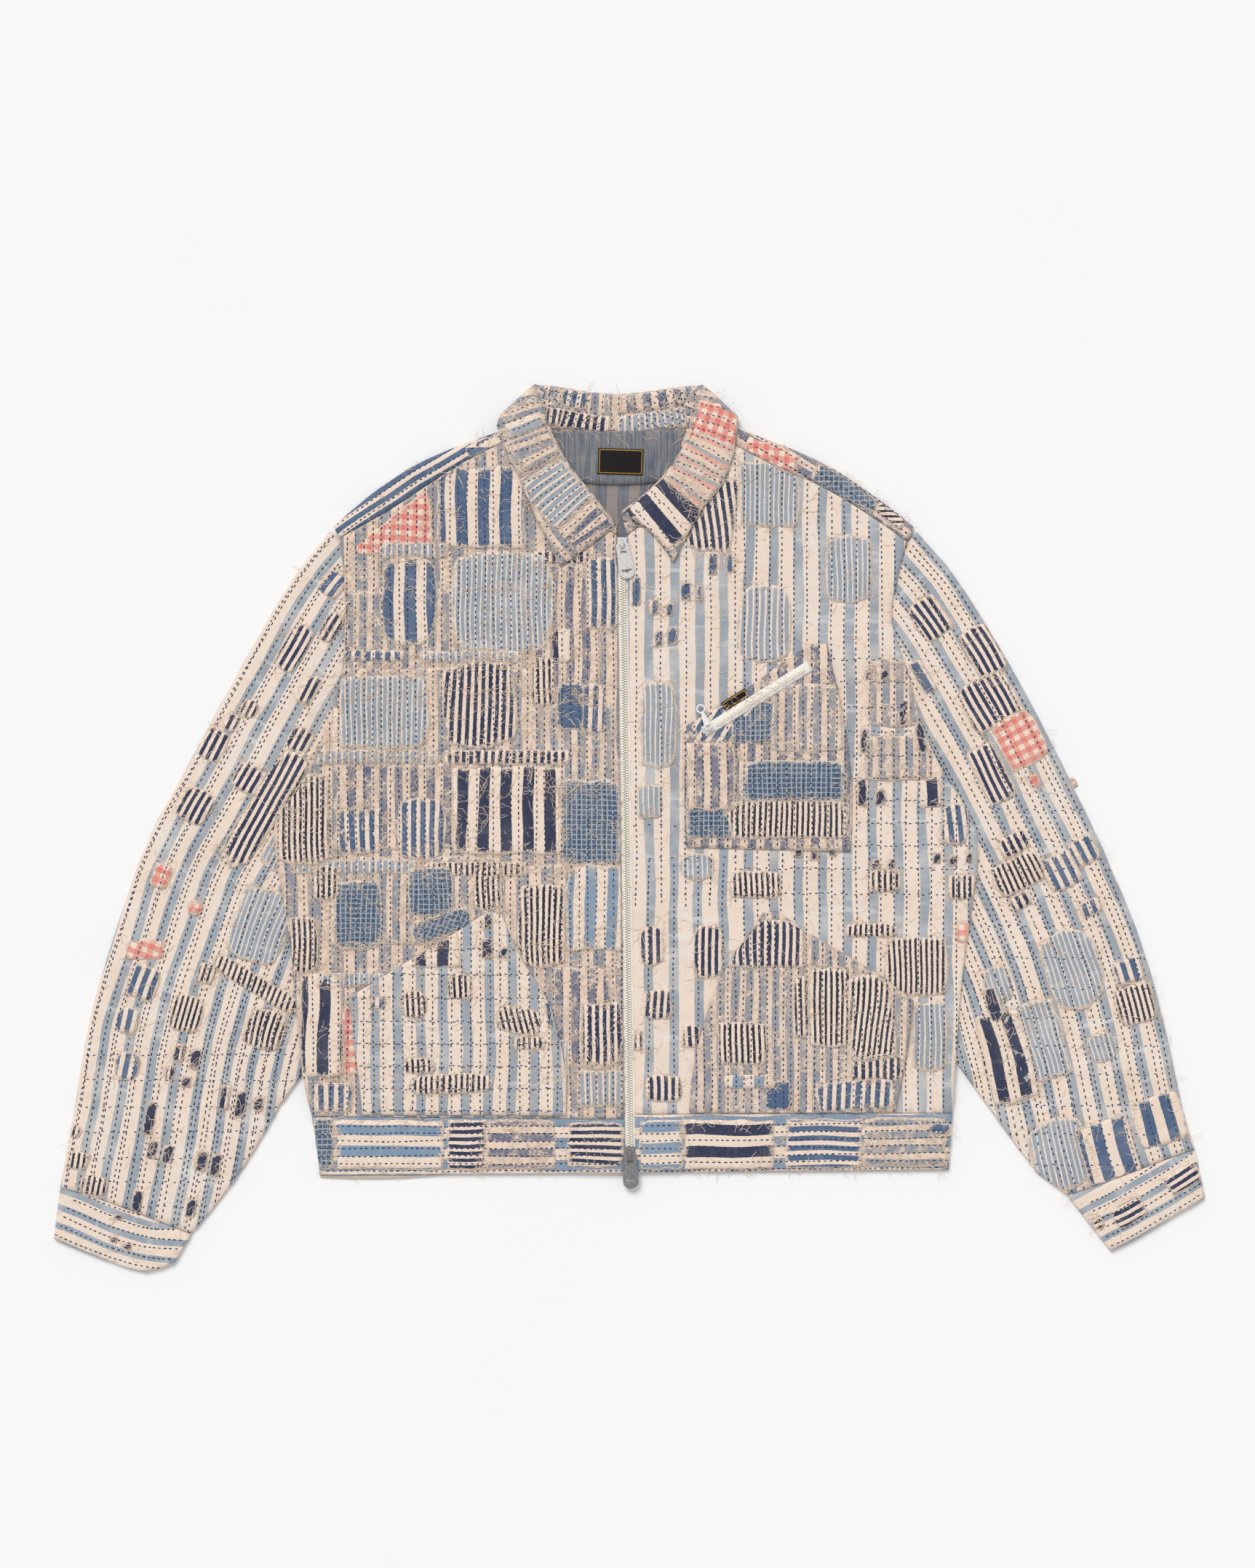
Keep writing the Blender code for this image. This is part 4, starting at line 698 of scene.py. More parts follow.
patches = {
    "front_right": (
        ("gauzeFine", -172, 164, 170, 92, 0.02), ("gauzeDark", -60, 176, 70, 116, 0.02),
        ("gauzeStripe", -170, 100, 190, 80, 0.05), ("gauzeFine", -50, 70, 74, 76, 0.05),
        ("gauzeDark", -196, 18, 130, 76, 0.03), ("gauzeFine", -190, -66, 150, 78, 0.05),
        ("gauzeStripe", -80, -70, 70, 70, 0.05), ("gauzeDark", -42, -170, 52, 90, 0.05),
        ("bluePin", -230, 61, 120, 13, 0.02), ("navyPin", -108, 61, 112, 13, 0.02),
        ("bluePin", -242, -36, 110, 12, 0.02), ("inkPin", -136, -38, 92, 13, 0.02),
        ("royalPin", -240, 151, 80, 10, 0.02), ("bluePin", -140, 150, 90, 10, 0.02),
        ("fadedPin", -246, -136, 60, 12, 0.02), ("navyPin", -60, 238, 50, 12, 0.02),
        ("redGingham", -209, 271, 68, 56, -0.04, 4), ("royalWide", -131, 282, 79, 72, 0.08),
        ("bluePin", -190, 244, 60, 14, 0.1), ("royalWide", -195, 199, 50, 78, 0.5),
        ("fadedPin", -112, 198, 92, 92, 0.5), ("royalPin", -24, 206, 30, 64, 0.15),
        ("fadedPin", -217, 101, 80, 66, 0.3), ("navyPin", -133, 108, 68, 78, 0.55, 4),
        ("royalCloth", -52, 106, 24, 42, 0.3), ("royalPin", -32, 104, 22, 44, 0.2),
        ("indigoCheck", -34, 3, 54, 77, 0.12), ("navyWide", -108, 14, 97, 78, 0.06),
        ("inkPin", -288, 7, 46, 83, 0.45), ("royalPin", -184, -2, 44, 56, 0.6),
        ("royalPin", -238, -4, 40, 40, 0.2), ("indigoCheck", -240, -79, 42, 62, 0.3),
        ("indigoCheck", -176, -58, 40, 44, 0.3), ("indigoCheck", -166, -88, 56, 20, 0.2, 20),
        ("inkPin", -290, -105, 30, 50, 0.35), ("inkPin", -77, -88, 44, 74, 0.4),
        ("inkPin", -126, -56, 26, 36, 0.4), ("inkPin", -268, -50, 24, 30, 0.4),
        ("skyWide", -30, -72, 52, 76, 0.06), ("navyWide", -272, -176, 38, 92, 0.08),
        ("redGingham", -244, -190, 24, 60, 0.15), ("navyPin", -24, -184, 36, 56, 0.15),
        ("navyWide", -60, 160, 18, 30, 0.2), ("inkPin", -76, 128, 22, 44, 0.4),
        ("royalPin", -262, -240, 34, 26, 0.1), ("bluePin", -24, -232, 44, 32, 0.1),
        ("fadedPin", -66, -206, 24, 36, 0.2),
    ),
    "hand_pocket_right": (
        ("navyWide", -170, -112, 42, 26, 0.1), ("navyCloth", -126, -84, 10, 13, 0.2),
        ("navyCloth", -126, -108, 10, 18, 0.2), ("navyCloth", -112, -112, 8, 9, 0.2),
        ("inkPin", -190, -158, 22, 26, 0.75), ("inkPin", -150, -142, 22, 22, 0.5),
        ("inkPin", -98, -172, 40, 24, 0.4, -12), ("inkPin", -88, -192, 28, 12, 0.3),
        ("inkPin", -186, -212, 28, 14, 0.4), ("inkPin", -158, -228, 74, 18, 0.5, 2),
        ("royalCloth", -68, -150, 16, 58, 0.3, 8), ("royalPin", -222, -156, 14, 10, 0.2),
    ),
    "front_left": (
        ("navyPin", 74, 276, 40, 66, 0.06, -8), ("fadedPin", 124, 294, 54, 58, 0.25),
        ("fadedPin", 194, 228, 42, 60, 0.45), ("bluePin", 120, 179, 48, 70, 0.6),
        ("fadedPin", 26, 90, 32, 78, 0.35), ("royalCloth", 74, 232, 8, 20, 0.15),
        ("royalCloth", 90, 233, 8, 18, 0.15), ("royalCloth", 50, 208, 9, 17, 0.15),
        ("royalCloth", 62, 206, 5, 15, 0.3), ("royalCloth", 6, 208, 8, 26, 0.1),
        ("royalCloth", 22, 194, 9, 14, 0.3), ("royalCloth", 36, 192, 6, 12, 0.3),
        ("royalCloth", 26, 166, 7, 15, 0.4), ("royalCloth", 38, 168, 9, 16, 0.2),
        ("navyCloth", 226, 134, 7, 9, 0.1), ("navyCloth", 240, 134, 7, 9, 0.1),
        ("navyCloth", 212, 134, 6, 9, 0.1), ("navyCloth", 242, 100, 8, 24, 0.3),
        ("navyCloth", 208, 76, 7, 22, 0.2), ("navyCloth", 258, 78, 8, 28, 0.5, 12),
        ("navyWide", 266, 30, 20, 26, 0.1), ("navyCloth", 206, 30, 8, 26, 0.2),
        ("navyCloth", 222, 26, 9, 14, 0.2), ("fadedPin", 60, -36, 32, 24, 0.85),
        ("fadedPin", 18, 22, 22, 30, 0.4), ("navyPin", 20, -106, 22, 36, 0.6),
        ("navyPin", 70, -111, 27, 48, 0.55), ("navyPin", 25, -158, 25, 26, 0.35),
        ("navyPin", 30, -232, 34, 24, 0.6), ("navyPin", 55, -186, 16, 20, 0.4),
        ("navyPin", 8, -190, 8, 18, 0.2), ("inkPin", 254, -124, 54, 52, 0.15),
        ("fadedPin", 266, -186, 30, 62, 0.35), ("inkPin", 112, -52, 46, 24, 0.3),
        ("inkPin", 226, -48, 28, 20, 0.25), ("inkPin", 294, -54, 26, 22, 0.25),
        ("navyCloth", 150, -22, 7, 12, 0.1), ("navyCloth", 164, -24, 7, 12, 0.1),
        ("navyCloth", 180, -22, 7, 9, 0.1), ("navyCloth", 218, -34, 7, 10, 0.1),
        ("navyCloth", 232, -34, 7, 10, 0.1), ("navyCloth", 272, -28, 7, 10, 0.1),
        ("navyCloth", 286, -30, 7, 10, 0.1), ("navyCloth", 300, -28, 6, 9, 0.1),
        ("inkPin", 214, -92, 46, 12, 0.3), ("royalPin", 288, 2, 24, 36, 0.4, -6),
        ("redGingham", 296, -94, 14, 18, 0.3), ("gauzeFine", 236, 118, 50, 60, 0.3),
        ("gauzeFine", 238, 60, 60, 40, 0.3),
    ),
    "chest_pocket": (
        ("royalPin", 86, 92, 60, 30, 0.1, 32), ("indigoCheck", 112, 92, 44, 38, 0.1),
        ("gauzeFine", 158, 96, 66, 60, 0.15), ("indigoCheck", 146, 40, 92, 36, 0.1),
        ("gauzeDark", 72, 44, 44, 60, 0.1), ("indigoCheck", 76, 4, 52, 30, 0.1),
        ("inkPin", 140, 6, 108, 34, 0.12),
    ),
    "hand_pocket_left": (
        ("navyPin", 122, -104, 68, 42, 0.02), ("inkPin", 100, -192, 44, 38, 0.2),
        ("inkPin", 178, -160, 38, 70, 0.12), ("inkPin", 214, -170, 40, 76, 0.15, 6),
        ("inkPin", 152, -160, 14, 56, 0.3), ("navyPin", 222, -214, 50, 22, 0.1),
        ("royalPin", 200, -238, 70, 26, 0.08, 4), ("royalCloth", 132, -238, 22, 26, 0.1),
        ("skyWide", 106, -226, 44, 12, 0.1),
    ),
    "sleeve_right": (
        ("royalPin", -262, 214, 20, 24, 0.4), ("navyPin", -296, 158, 22, 46, 0.6),
        ("navyPin", -264, 176, 16, 28, 0.6), ("navyPin", -283, 120, 14, 28, 0.4),
        ("inkPin", -336, 104, 16, 16, 0.7), ("navyPin", -352, 92, 12, 16, 0.3),
        ("navyPin", -368, 72, 24, 30, 0.5), ("navyPin", -291, 76, 22, 24, 0.7),
        ("navyCloth", -270, 72, 8, 22, 0.2), ("navyPin", -384, 18, 30, 32, 0.6),
        ("navyPin", -336, 42, 28, 26, 0.5), ("navyPin", -322, 16, 30, 118, 0.4, -4),
        ("fadedPin", -296, 2, 26, 90, 0.3), ("redGingham", -414, -44, 16, 22, 0.3),
        ("redGingham", -384, -72, 12, 14, 0.7), ("redGingham", -428, -110, 34, 16, 0.2, 20),
        ("royalPin", -430, -138, 28, 30, 0.4), ("royalPin", -444, -172, 20, 24, 0.5),
        ("royalPin", -444, -212, 22, 26, 0.7), ("fadedPin", -326, -88, 50, 66, 0.3),
        ("inkPin", -330, -140, 88, 16, 0.3, -14), ("inkPin", -392, -166, 30, 34, 0.7),
        ("inkPin", -322, -180, 34, 36, 0.5), ("inkPin", -374, -130, 16, 18, 0.3),
        ("navyCloth", -398, -200, 9, 16, 0.1), ("navyCloth", -384, -206, 9, 18, 0.1),
        ("navyCloth", -406, -218, 8, 14, 0.1), ("navyCloth", -392, -226, 8, 10, 0.1),
        ("navyCloth", -358, -240, 9, 22, 0.1), ("navyCloth", -344, -246, 9, 24, 0.1),
        ("navyCloth", -328, -246, 8, 12, 0.1), ("navyCloth", -424, -258, 9, 30, 0.1),
        ("navyCloth", -422, -286, 9, 16, 0.1), ("navyCloth", -408, -290, 9, 16, 0.1),
        ("navyCloth", -378, -296, 9, 18, 0.1), ("navyCloth", -366, -300, 9, 20, 0.1),
        ("navyCloth", -436, -334, 9, 24, 0.2), ("navyCloth", -388, -338, 9, 16, 0.2),
        ("inkPin", -488, -296, 18, 16, 0.4), ("inkPin", -492, -270, 14, 10, 0.5),
        ("inkPin", -474, -318, 24, 18, 0.5),
    ),
    "sleeve_left": (
        ("navyPin", 266, 184, 30, 38, 0.4), ("royalCloth", 260, 132, 12, 32, 0.2),
        ("navyPin", 314, 156, 32, 46, 0.35), ("navyPin", 318, 110, 46, 46, 0.3),
        ("redGingham", 346, 76, 40, 48, 0.35), ("navyPin", 320, 46, 26, 54, 0.2),
        ("redGingham", 358, 40, 10, 12, 0.5), ("redGingham", 392, 38, 10, 10, 0.5),
        ("royalPin", 402, -22, 24, 24, 0.2), ("inkPin", 344, -42, 46, 30, 0.4),
        ("royalPin", 382, -40, 32, 32, 0.4), ("navyPin", 340, -16, 28, 18, 0.3),
        ("navyPin", 346, -66, 20, 14, 0.5), ("royalPin", 408, -72, 20, 14, 0.4),
        ("fadedPin", 392, -126, 52, 72, 0.8), ("inkPin", 448, -158, 34, 34, 0.2),
        ("royalPin", 442, -128, 26, 22, 0.2), ("fadedPin", 360, -190, 50, 72, 0.3),
        ("navyWide", 334, -204, 42, 82, 0.1), ("navyCloth", 322, -158, 12, 30, 0.3),
        ("fadedPin", 326, -140, 24, 32, 0.5), ("fadedPin", 418, -196, 26, 26, 0.7),
        ("royalWide", 470, -260, 44, 44, 0.3), ("fadedPin", 382, -290, 54, 64, 0.7),
        ("royalWide", 424, -288, 48, 56, 0.2),
    ),
    "cuff_right": (
        ("navyCloth", -452, -346, 7, 5, 0.2), ("navyCloth", -456, -366, 7, 5, 0.2),
        ("navyCloth", -444, -372, 7, 5, 0.2),
    ),
    "cuff_left": (
        ("navyPin", 442, -342, 30, 20, 0.2), ("navyPin", 490, -312, 32, 18, 0.2),
        ("inkPin", 412, -352, 16, 12, 0.3),
    ),
    "hem_band_right": (
        ("indigoCheck", -271, -281, 18, 46, 0.1), ("skyWide", -212, -282, 96, 44, 0.05),
        ("navyPin", -144, -282, 34, 44, 0.05), ("gauzeDark", -96, -282, 62, 44, 0.1),
        ("navyPin", -30, -282, 50, 40, 0.2), ("navyCloth", -98, -266, 24, 7, 0.1),
    ),
    "hem_band_left": (
        ("skyWide", 28, -282, 38, 44, 0.05), ("navyWide", 88, -282, 80, 44, 0.04),
        ("royalPin", 172, -281, 68, 44, 0.05), ("gauzeFine", 244, -280, 74, 44, 0.1),
        ("royalCloth", 274, -268, 20, 10, 0.2), ("royalCloth", 268, -296, 28, 8, 0.2),
    ),
    "shoulder_yoke_left": (
        ("redGingham", 124, 326, 50, 26, 0.2, -26), ("indigoCheck", 190, 296, 64, 24, 0.15, -34),
        ("inkPin", 232, 276, 30, 14, 0.3, -40),
    ),
    "shoulder_yoke_right": (("royalWide", -128, 338, 34, 20, 0.2, 28),),
}

# Patches on the collar, measured along its crease from the right leaf's end and out from it:
# cloth, middle along, middle across, length, depth, roundness
collarPatches = (
    ("gauzeDark", 20, 24, 34, 44, 0.1), ("bluePin", 60, 24, 46, 46, 0.25),
    ("gauzeFine", 98, 22, 26, 44, 0.15), ("wideStripe", 120, 20, 14, 34, 0.15),
    ("gauzePink", 360, 22, 50, 50, 0.02), ("navyWide", 404, 25, 54, 54, 0.03),
    ("redGingham", 326, 22, 36, 46, 0.1), ("royalPin", 184, -9, 22, 16, 0.1),
    ("navyPin", 186, -28, 60, 16, 0.1), ("bluePin", 250, -28, 60, 18, 0.1),
    ("gauzeDark", 250, -9, 60, 16, 0.1),
)
# The line that each carrier's patches follow
carriers = {
    "front_right": "body", "hand_pocket_right": "body", "front_left": "body", "chest_pocket": "body",
    "hand_pocket_left": "body", "sleeve_right": "sleeveRight", "sleeve_left": "sleeveLeft",
    "cuff_right": "cuffRight", "cuff_left": "cuffLeft", "hem_band_right": "band", "hem_band_left": "band",
    "shoulder_yoke_left": "yokeLeft", "shoulder_yoke_right": "yokeRight",
}
# Mesh cells, waver of the cut edge, height over the carrier and shift of the stripes, in mm. A table's
# patches after row number smallFrom lie higher by smallLift.
patchWork = {
    "cell": 4.5, "collarCell": 4, "swell": 0.1, "waver": 0.9, "waverScale": 0.16, "lift": 0.35,
    "liftStep": 0.05, "smallLift": 0.25, "smallFrom": 7, "skirt": 0.25, "lowest": 0.05, "acrossShift": 3.7,
    "alongShift": 5.3, "collarShift": 3.0,
}
outlines = []  # each patch's carrier and closed outline, for the frayed edges


def squareToPatch(u, v, roundness):
    # u and v from -1 to 1, drawn in towards an oval by the roundness
    roundX = u * math.sqrt(1 - v * v / 2)
    roundY = v * math.sqrt(1 - u * u / 2)
    return u + (roundX - u) * roundness, v + (roundY - v) * roundness


def patchCells(width, height, cell, roundness):
    # Rows of a patch's points: place in it from -1 to 1, drawn in to its outline, and nearness to the edge
    columnCount = max(2, round(width / cell))
    rowCount = max(2, round(height / cell))
    rows = []
    for row in range(rowCount + 1):
        rows.append([])
        for column in range(columnCount + 1):
            u = 2 * column / columnCount - 1
            v = 2 * row / rowCount - 1
            rows[-1].append((*squareToPatch(u, v, roundness), max(abs(u), abs(v)) ** 3))
    return rows


def drapeGrid(carrier, rows, middle, lift, lists):
    # Adds one patch, draped on its carrier, with the skirt that its turned edge makes
    points, values, faces = lists
    first = len(points)
    width = len(rows[0])
    for row in rows:
        for x, y, across, along, rim in row:
            points.append(settle(carrier, x, y, middle, lift))
            values.append((across, along, rim))
    for row in range(len(rows) - 1):
        for column in range(width - 1):
            a = first + row * width + column
            faces.append((a, a + 1, a + 1 + width, a + width))
    last = first + (len(rows) - 1) * width
    ring = [first + column for column in range(width)]
    ring += [first + row * width + width - 1 for row in range(1, len(rows))]
    ring += [last + column for column in range(width - 2, -1, -1)]
    ring += [first + row * width for row in range(len(rows) - 2, 0, -1)]
    skirt = len(points)
    for index in ring:
        x, y, z = points[index]
        points.append((x, y, max(z - lift - patchWork["skirt"], patchWork["lowest"])))
        values.append(values[index])
    for index in range(len(ring)):
        following = (index + 1) % len(ring)
        faces.append((ring[index], skirt + index, skirt + following, ring[following]))
    return [points[index][:2] for index in ring]


def placePatch(trailName, seed, x, y, width, height, roundness, turn=0):
    # The patch's grid of x, y, its place on the weave and its nearness to the edge
    trail = trails[trailName]
    waver = patchWork["waver"]
    scale = patchWork["waverScale"]
    lean = math.radians(turn)
    if trailName.startswith(("sleeve", "cuff")):
        _, along = trail.read(np.array([x]), np.array([y]))
        lean += trail.at(float(along[0]), 0.0)[2] + math.pi / 2
        if trailName.startswith("cuff"):
            lean -= math.pi / 2
    grid = []
    cells = patchCells(width, height, patchWork["cell"], abs(roundness))
    for row in cells:
        for a, b, rim in row:
            if roundness < 0:  # cut slanting, narrow at its left end
                b = (b + 1) * (0.12 + 0.44 * (a + 1)) - 1
            swell = 1.0 + patchWork["swell"] * ripple(a * 1.9 + seed * 7.1, b * 1.9, seed) * rim
            px = a * width / 2 * swell + waver * rim * ripple(b * height * scale, seed, 1.0)
            py = b * height / 2 * swell + waver * rim * ripple(a * width * scale, seed, 5.0)
            grid.append((x + px * math.cos(lean) - py * math.sin(lean),
                         y + px * math.sin(lean) + py * math.cos(lean), rim))
    flat = np.array(grid)
    across, along = trail.read(flat[:, 0], flat[:, 1])
    if turn and not trailName.startswith("sleeve"):
        tilt = math.radians(turn)
        across, along = (across * math.cos(tilt) + along * math.sin(tilt),
                         along * math.cos(tilt) - across * math.sin(tilt))
    across = across + seed * patchWork["acrossShift"]
    made = [(a, b, across[index], along[index] + seed * patchWork["alongShift"], rim)
            for index, (a, b, rim) in enumerate(grid)]
    wide = len(cells[0])
    return [made[start:start + wide] for start in range(0, len(made), wide)]


def collarGrid(row, number):
    # A collar patch's grid follows the crease that the collar folds along
    _, s, d, length, depth, roundness = row
    rows = []
    for line in patchCells(length, depth, patchWork["collarCell"], roundness):
        rows.append([])
        for a, b, rim in line:
            along = s + a * length / 2
            across = d + b * depth / 2
            x, y, _ = trails["collar"].at(along, across)
            rows[-1].append((x, y, along + number * patchWork["collarShift"], across, rim))
    return rows, trails["collar"].at(s, d)[:2]


def finishPatches(carrier, lists, slotsUsed, faceLooks):
    points, values, faces = lists
    mesh = makeMesh("patches_" + carrier, points, faces)
    for fabric in slotsUsed:
        mesh.materials.append(cloth(fabric))
    mesh.polygons.foreach_set("material_index", faceLooks)
    piece = addPiece("patches_" + carrier, mesh, None)
    store(piece, values)
    return piece


def buildPatches():
    made = {}
    for carrier, table in {**patches, "collar": collarPatches}.items():
        lists = ([], [], [])
        slotsUsed = []
        faceLooks = []
        for number, row in enumerate(table):
            lift = patchWork["lift"] + patchWork["liftStep"] * (number % 5)
            lift += patchWork["smallLift"] if number > patchWork["smallFrom"] else 0.0
            if carrier == "collar":
                rows, middle = collarGrid(row, number)
            else:
                rows = placePatch(carriers[carrier], number + 1.0, *row[1:])
                middle = row[1:3]
            before = len(lists[2])
            ring = drapeGrid(carrier, rows, middle, lift, lists)
            if row[0] not in slotsUsed:
                slotsUsed.append(row[0])
            faceLooks += [slotsUsed.index(row[0])] * (len(lists[2]) - before)
            outlines.append((carrier, ring))
        made[carrier] = finishPatches(carrier, lists, slotsUsed, faceLooks)
    return made


patchPieces = buildPatches()
print("patches made", faceCount(patchPieces))
ground = Ground({**shells, **{"patch_" + name: piece for name, piece in patchPieces.items()}})


def ownerOf(name):
    return name[6:] if name and name.startswith("patch_") else name


# Threads and stitches are many small tubes in one mesh

class Bundle:
    def __init__(self):
        self.points = []
        self.faces = []

    def tube(self, line, radius, flat=1.0, sides=3):
        # A thin tube along points, closed and narrower at both ends
        count = len(line)
        first = len(self.points)
        for index, here in enumerate(line):
            before = line[max(index - 1, 0)]
            after = line[min(index + 1, count - 1)]
            dx = after[0] - before[0]
            dy = after[1] - before[1]
            length = math.hypot(dx, dy) or 1.0
            thick = radius * (0.35 if index in (0, count - 1) else 1.0)
            for side in range(sides):
                angle = 2 * math.pi * side / sides + math.pi / 2
                self.points.append((here[0] + -dy / length * thick * math.cos(angle),
                                    here[1] + dx / length * thick * math.cos(angle),
                                    here[2] + thick * flat * math.sin(angle)))
        for index in range(count - 1):
            for side in range(sides):
                a = first + index * sides + side
                b = first + index * sides + (side + 1) % sides
                self.faces.append((a, b, b + sides, a + sides))
        self.faces.append(tuple(first + side for side in range(sides)))
        self.faces.append(tuple(first + (count - 1) * sides + side for side in reversed(range(sides))))

    def finish(self, name, material):
        return addPiece(name, makeMesh(name, self.points, self.faces), material)


stitching = {"length": 3.2, "pitch": 5.0, "radius": 0.82, "flat": 0.45, "steepest": 1.2}
# Rows of running stitches: their line, first and last row across, gap between rows, where along the line they
# start and end, and the pieces they are sewn on
stitchRows = {
    "front_right": (
        ("body", -318, -3, 7.6, 60, 665, ("front_right",)),
        ("body", -252, -52, 8.6, 320, 665, ("hand_pocket_right",)),
    ),
    "front_left": (
        ("body", 6, 96, 22.0, 60, 470, ("front_left",)),
        ("body", 17, 96, 22.0, 430, 665, ("front_left",)),
        ("body", 102, 316, 11.0, 60, 665, ("front_left",)),
        ("body", 52, 252, 7.0, 320, 665, ("hand_pocket_left",)),
        ("body", 50, 198, 7.4, 200, 440, ("chest_pocket",)),
    ),
    "sleeve_right": (("sleeveRight", 4, 96, 21.2, 0, 700, ("sleeve_right",)),
                     ("sleeveRight", 108, 196, 21.2, 0, 300, ("sleeve_right",)),
                     ("sleeveRight", 108, 196, 10.6, 300, 700, ("sleeve_right",))),
    "sleeve_left": (("sleeveLeft", -96, -4, 21.2, 0, 660, ("sleeve_left",)),
                    ("sleeveLeft", -196, -108, 21.2, 0, 260, ("sleeve_left",)),
                    ("sleeveLeft", -196, -108, 10.6, 260, 660, ("sleeve_left",))),
    "trims": (
        ("band", -48, -5, 6.6, 0, 575, ("hem_band_right", "hem_band_left")),
        ("cuffRight", 4, 50, 8.6, 0, 130, ("cuff_right",)),
        ("cuffLeft", 4, 50, 8.6, 0, 130, ("cuff_left",)),
        ("yokeRight", -60, 60, 9.0, 0, 240, ("shoulder_yoke_right",)),
        ("yokeLeft", -60, 60, 9.0, 0, 240, ("shoulder_yoke_left",)),
    ),
}
# Stitches across them on the pockets and worn places: x and y ranges, gap across, gap along, and their pieces
crossRows = {
    "front_right": ((-250, -54, -252, -88, 8.6, 21, ("hand_pocket_right",)),),
    "front_left": ((100, 312, -60, 158, 11.0, 21, ("front_left",)),
                   (6, 100, -60, 20, 22.0, 30, ("front_left",))),
    "sleeve_right": ((-480, -290, -360, -190, 14.0, 22, ("sleeve_right",)),),
    "sleeve_left": ((320, 470, -300, 40, 16.0, 26, ("sleeve_left",)),),
}


def addStitch(bundle, x, y, angle, allowed, length, radius):
    half = length / 2
    line = []
    for share, rise in ((-1, -0.12), (-0.5, 0.12), (0.5, 0.12), (1, -0.12)):
        here = (x + math.cos(angle) * half * share, y + math.sin(angle) * half * share)
        z, owner = ground.under(*here)
        if z is None or ownerOf(owner) not in allowed:
            return
        line.append((*here, z + rise))
    if max(place[2] for place in line) - min(place[2] for place in line) < stitching["steepest"]:
        bundle.tube(line, radius, stitching["flat"])


def sewAlong(bundle, trailName, first, last, gap, start, end, allowed):
    trail = trails[trailName]
    for number in range(int((last - first) / gap) + 1):
        across = first + number * gap
        along = start + dice.uniform(0, stitching["pitch"])
        while along < end:
            drift = 1.3 * ripple(along * 0.02, number * 1.7, 2.0)
            x, y, angle = trail.at(along, across + drift)
            addStitch(bundle, x, y, angle + dice.uniform(-0.1, 0.1), allowed,
                      stitching["length"] * dice.uniform(0.75, 1.15),
                      stitching["radius"] * dice.uniform(0.8, 1.1))
            along += stitching["pitch"] * dice.uniform(0.86, 1.14)


def sewAcross(bundle, x0, x1, y0, y1, gapX, gapY, allowed):
    y = y0
    while y < y1:
        x = x0
        while x < x1:
            addStitch(bundle, x + dice.uniform(-1.5, 1.5), y + dice.uniform(-1.0, 1.0),
                      dice.uniform(-0.12, 0.12), allowed, stitching["length"] * 0.9,
                      stitching["radius"] * 0.8)
            x += gapX / 2
        y += gapY * dice.uniform(0.92, 1.08)


def sewCollar(bundle):
    # Rows run across the folded collar, on both sides of its crease
    along = 5.0
    while along < trails["collar"].total:
        across = -44 + dice.uniform(0, stitching["pitch"])
        while across < 66:
            x, y, angle = trails["collar"].at(along + 0.8 * math.sin(across * 0.2), across)
            addStitch(bundle, x, y, angle + math.pi / 2 + dice.uniform(-0.15, 0.15), ("collar",),
                      stitching["length"] * 0.85, stitching["radius"] * 0.85)
            across += stitching["pitch"] * dice.uniform(0.86, 1.14)
        along += 6.8


stitchPieces = {}


def buildStitches():
    for key, rows in stitchRows.items():
        bundle = Bundle()
        for row in rows:
            sewAlong(bundle, *row)
        for row in crossRows.get(key, ()):
            sewAcross(bundle, *row)
        if key == "trims":
            sewCollar(bundle)
        slot = "band_cloth" if key == "trims" else "patched_cloth"
        stitchPieces[key] = bundle.finish("stitches_" + key, navyThread)


buildStitches()
print("stitches made", faceCount(stitchPieces))


# Loose threads

frayPieces = {}
fraying = {"radius": 0.26, "longest": 17.0, "perMillimetre": 0.12, "alongEdge": 0.6, "hang": 0.6,
           "strandRadius": 0.28, "strandStep": 2.1, "strandEvery": 34}
# Loose threads: the pieces they lie on, their box of x and y, and how many
frayAreas = {
    "front_right": (("front_right", "hand_pocket_right"), (-315, -5, -255, 330), 2400),
    "front_left": (("front_left", "hand_pocket_left", "chest_pocket"), (5, 312, -255, 330), 700),
    "sleeve_right": (("sleeve_right", "cuff_right"), (-512, -240, -394, 262), 350),
    "sleeve_left": (("sleeve_left", "cuff_left"), (240, 512, -380, 262), 400),
    "trims": (("hem_band_right", "hem_band_left", "collar", "shoulder_yoke_left", "shoulder_yoke_right"),
              (-290, 290, -312, 395), 1300),
}


# The swinging pulls' boxes, low and high in mm, which loose threads keep clear of by pullRoom
pullRoom = 2.5
pulls = ("zip_pull_top", "zip_pull_bottom", "pocket_zip_pull")
pullBoxes = [[corner * 1000 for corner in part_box(node)] for node in pulls]


def clearOfPulls(line):
    for x, y, _ in line:
        for near, far in pullBoxes:
            if near.x - pullRoom < x < far.x + pullRoom and near.y - pullRoom < y < far.y + pullRoom:
                return False
    return True


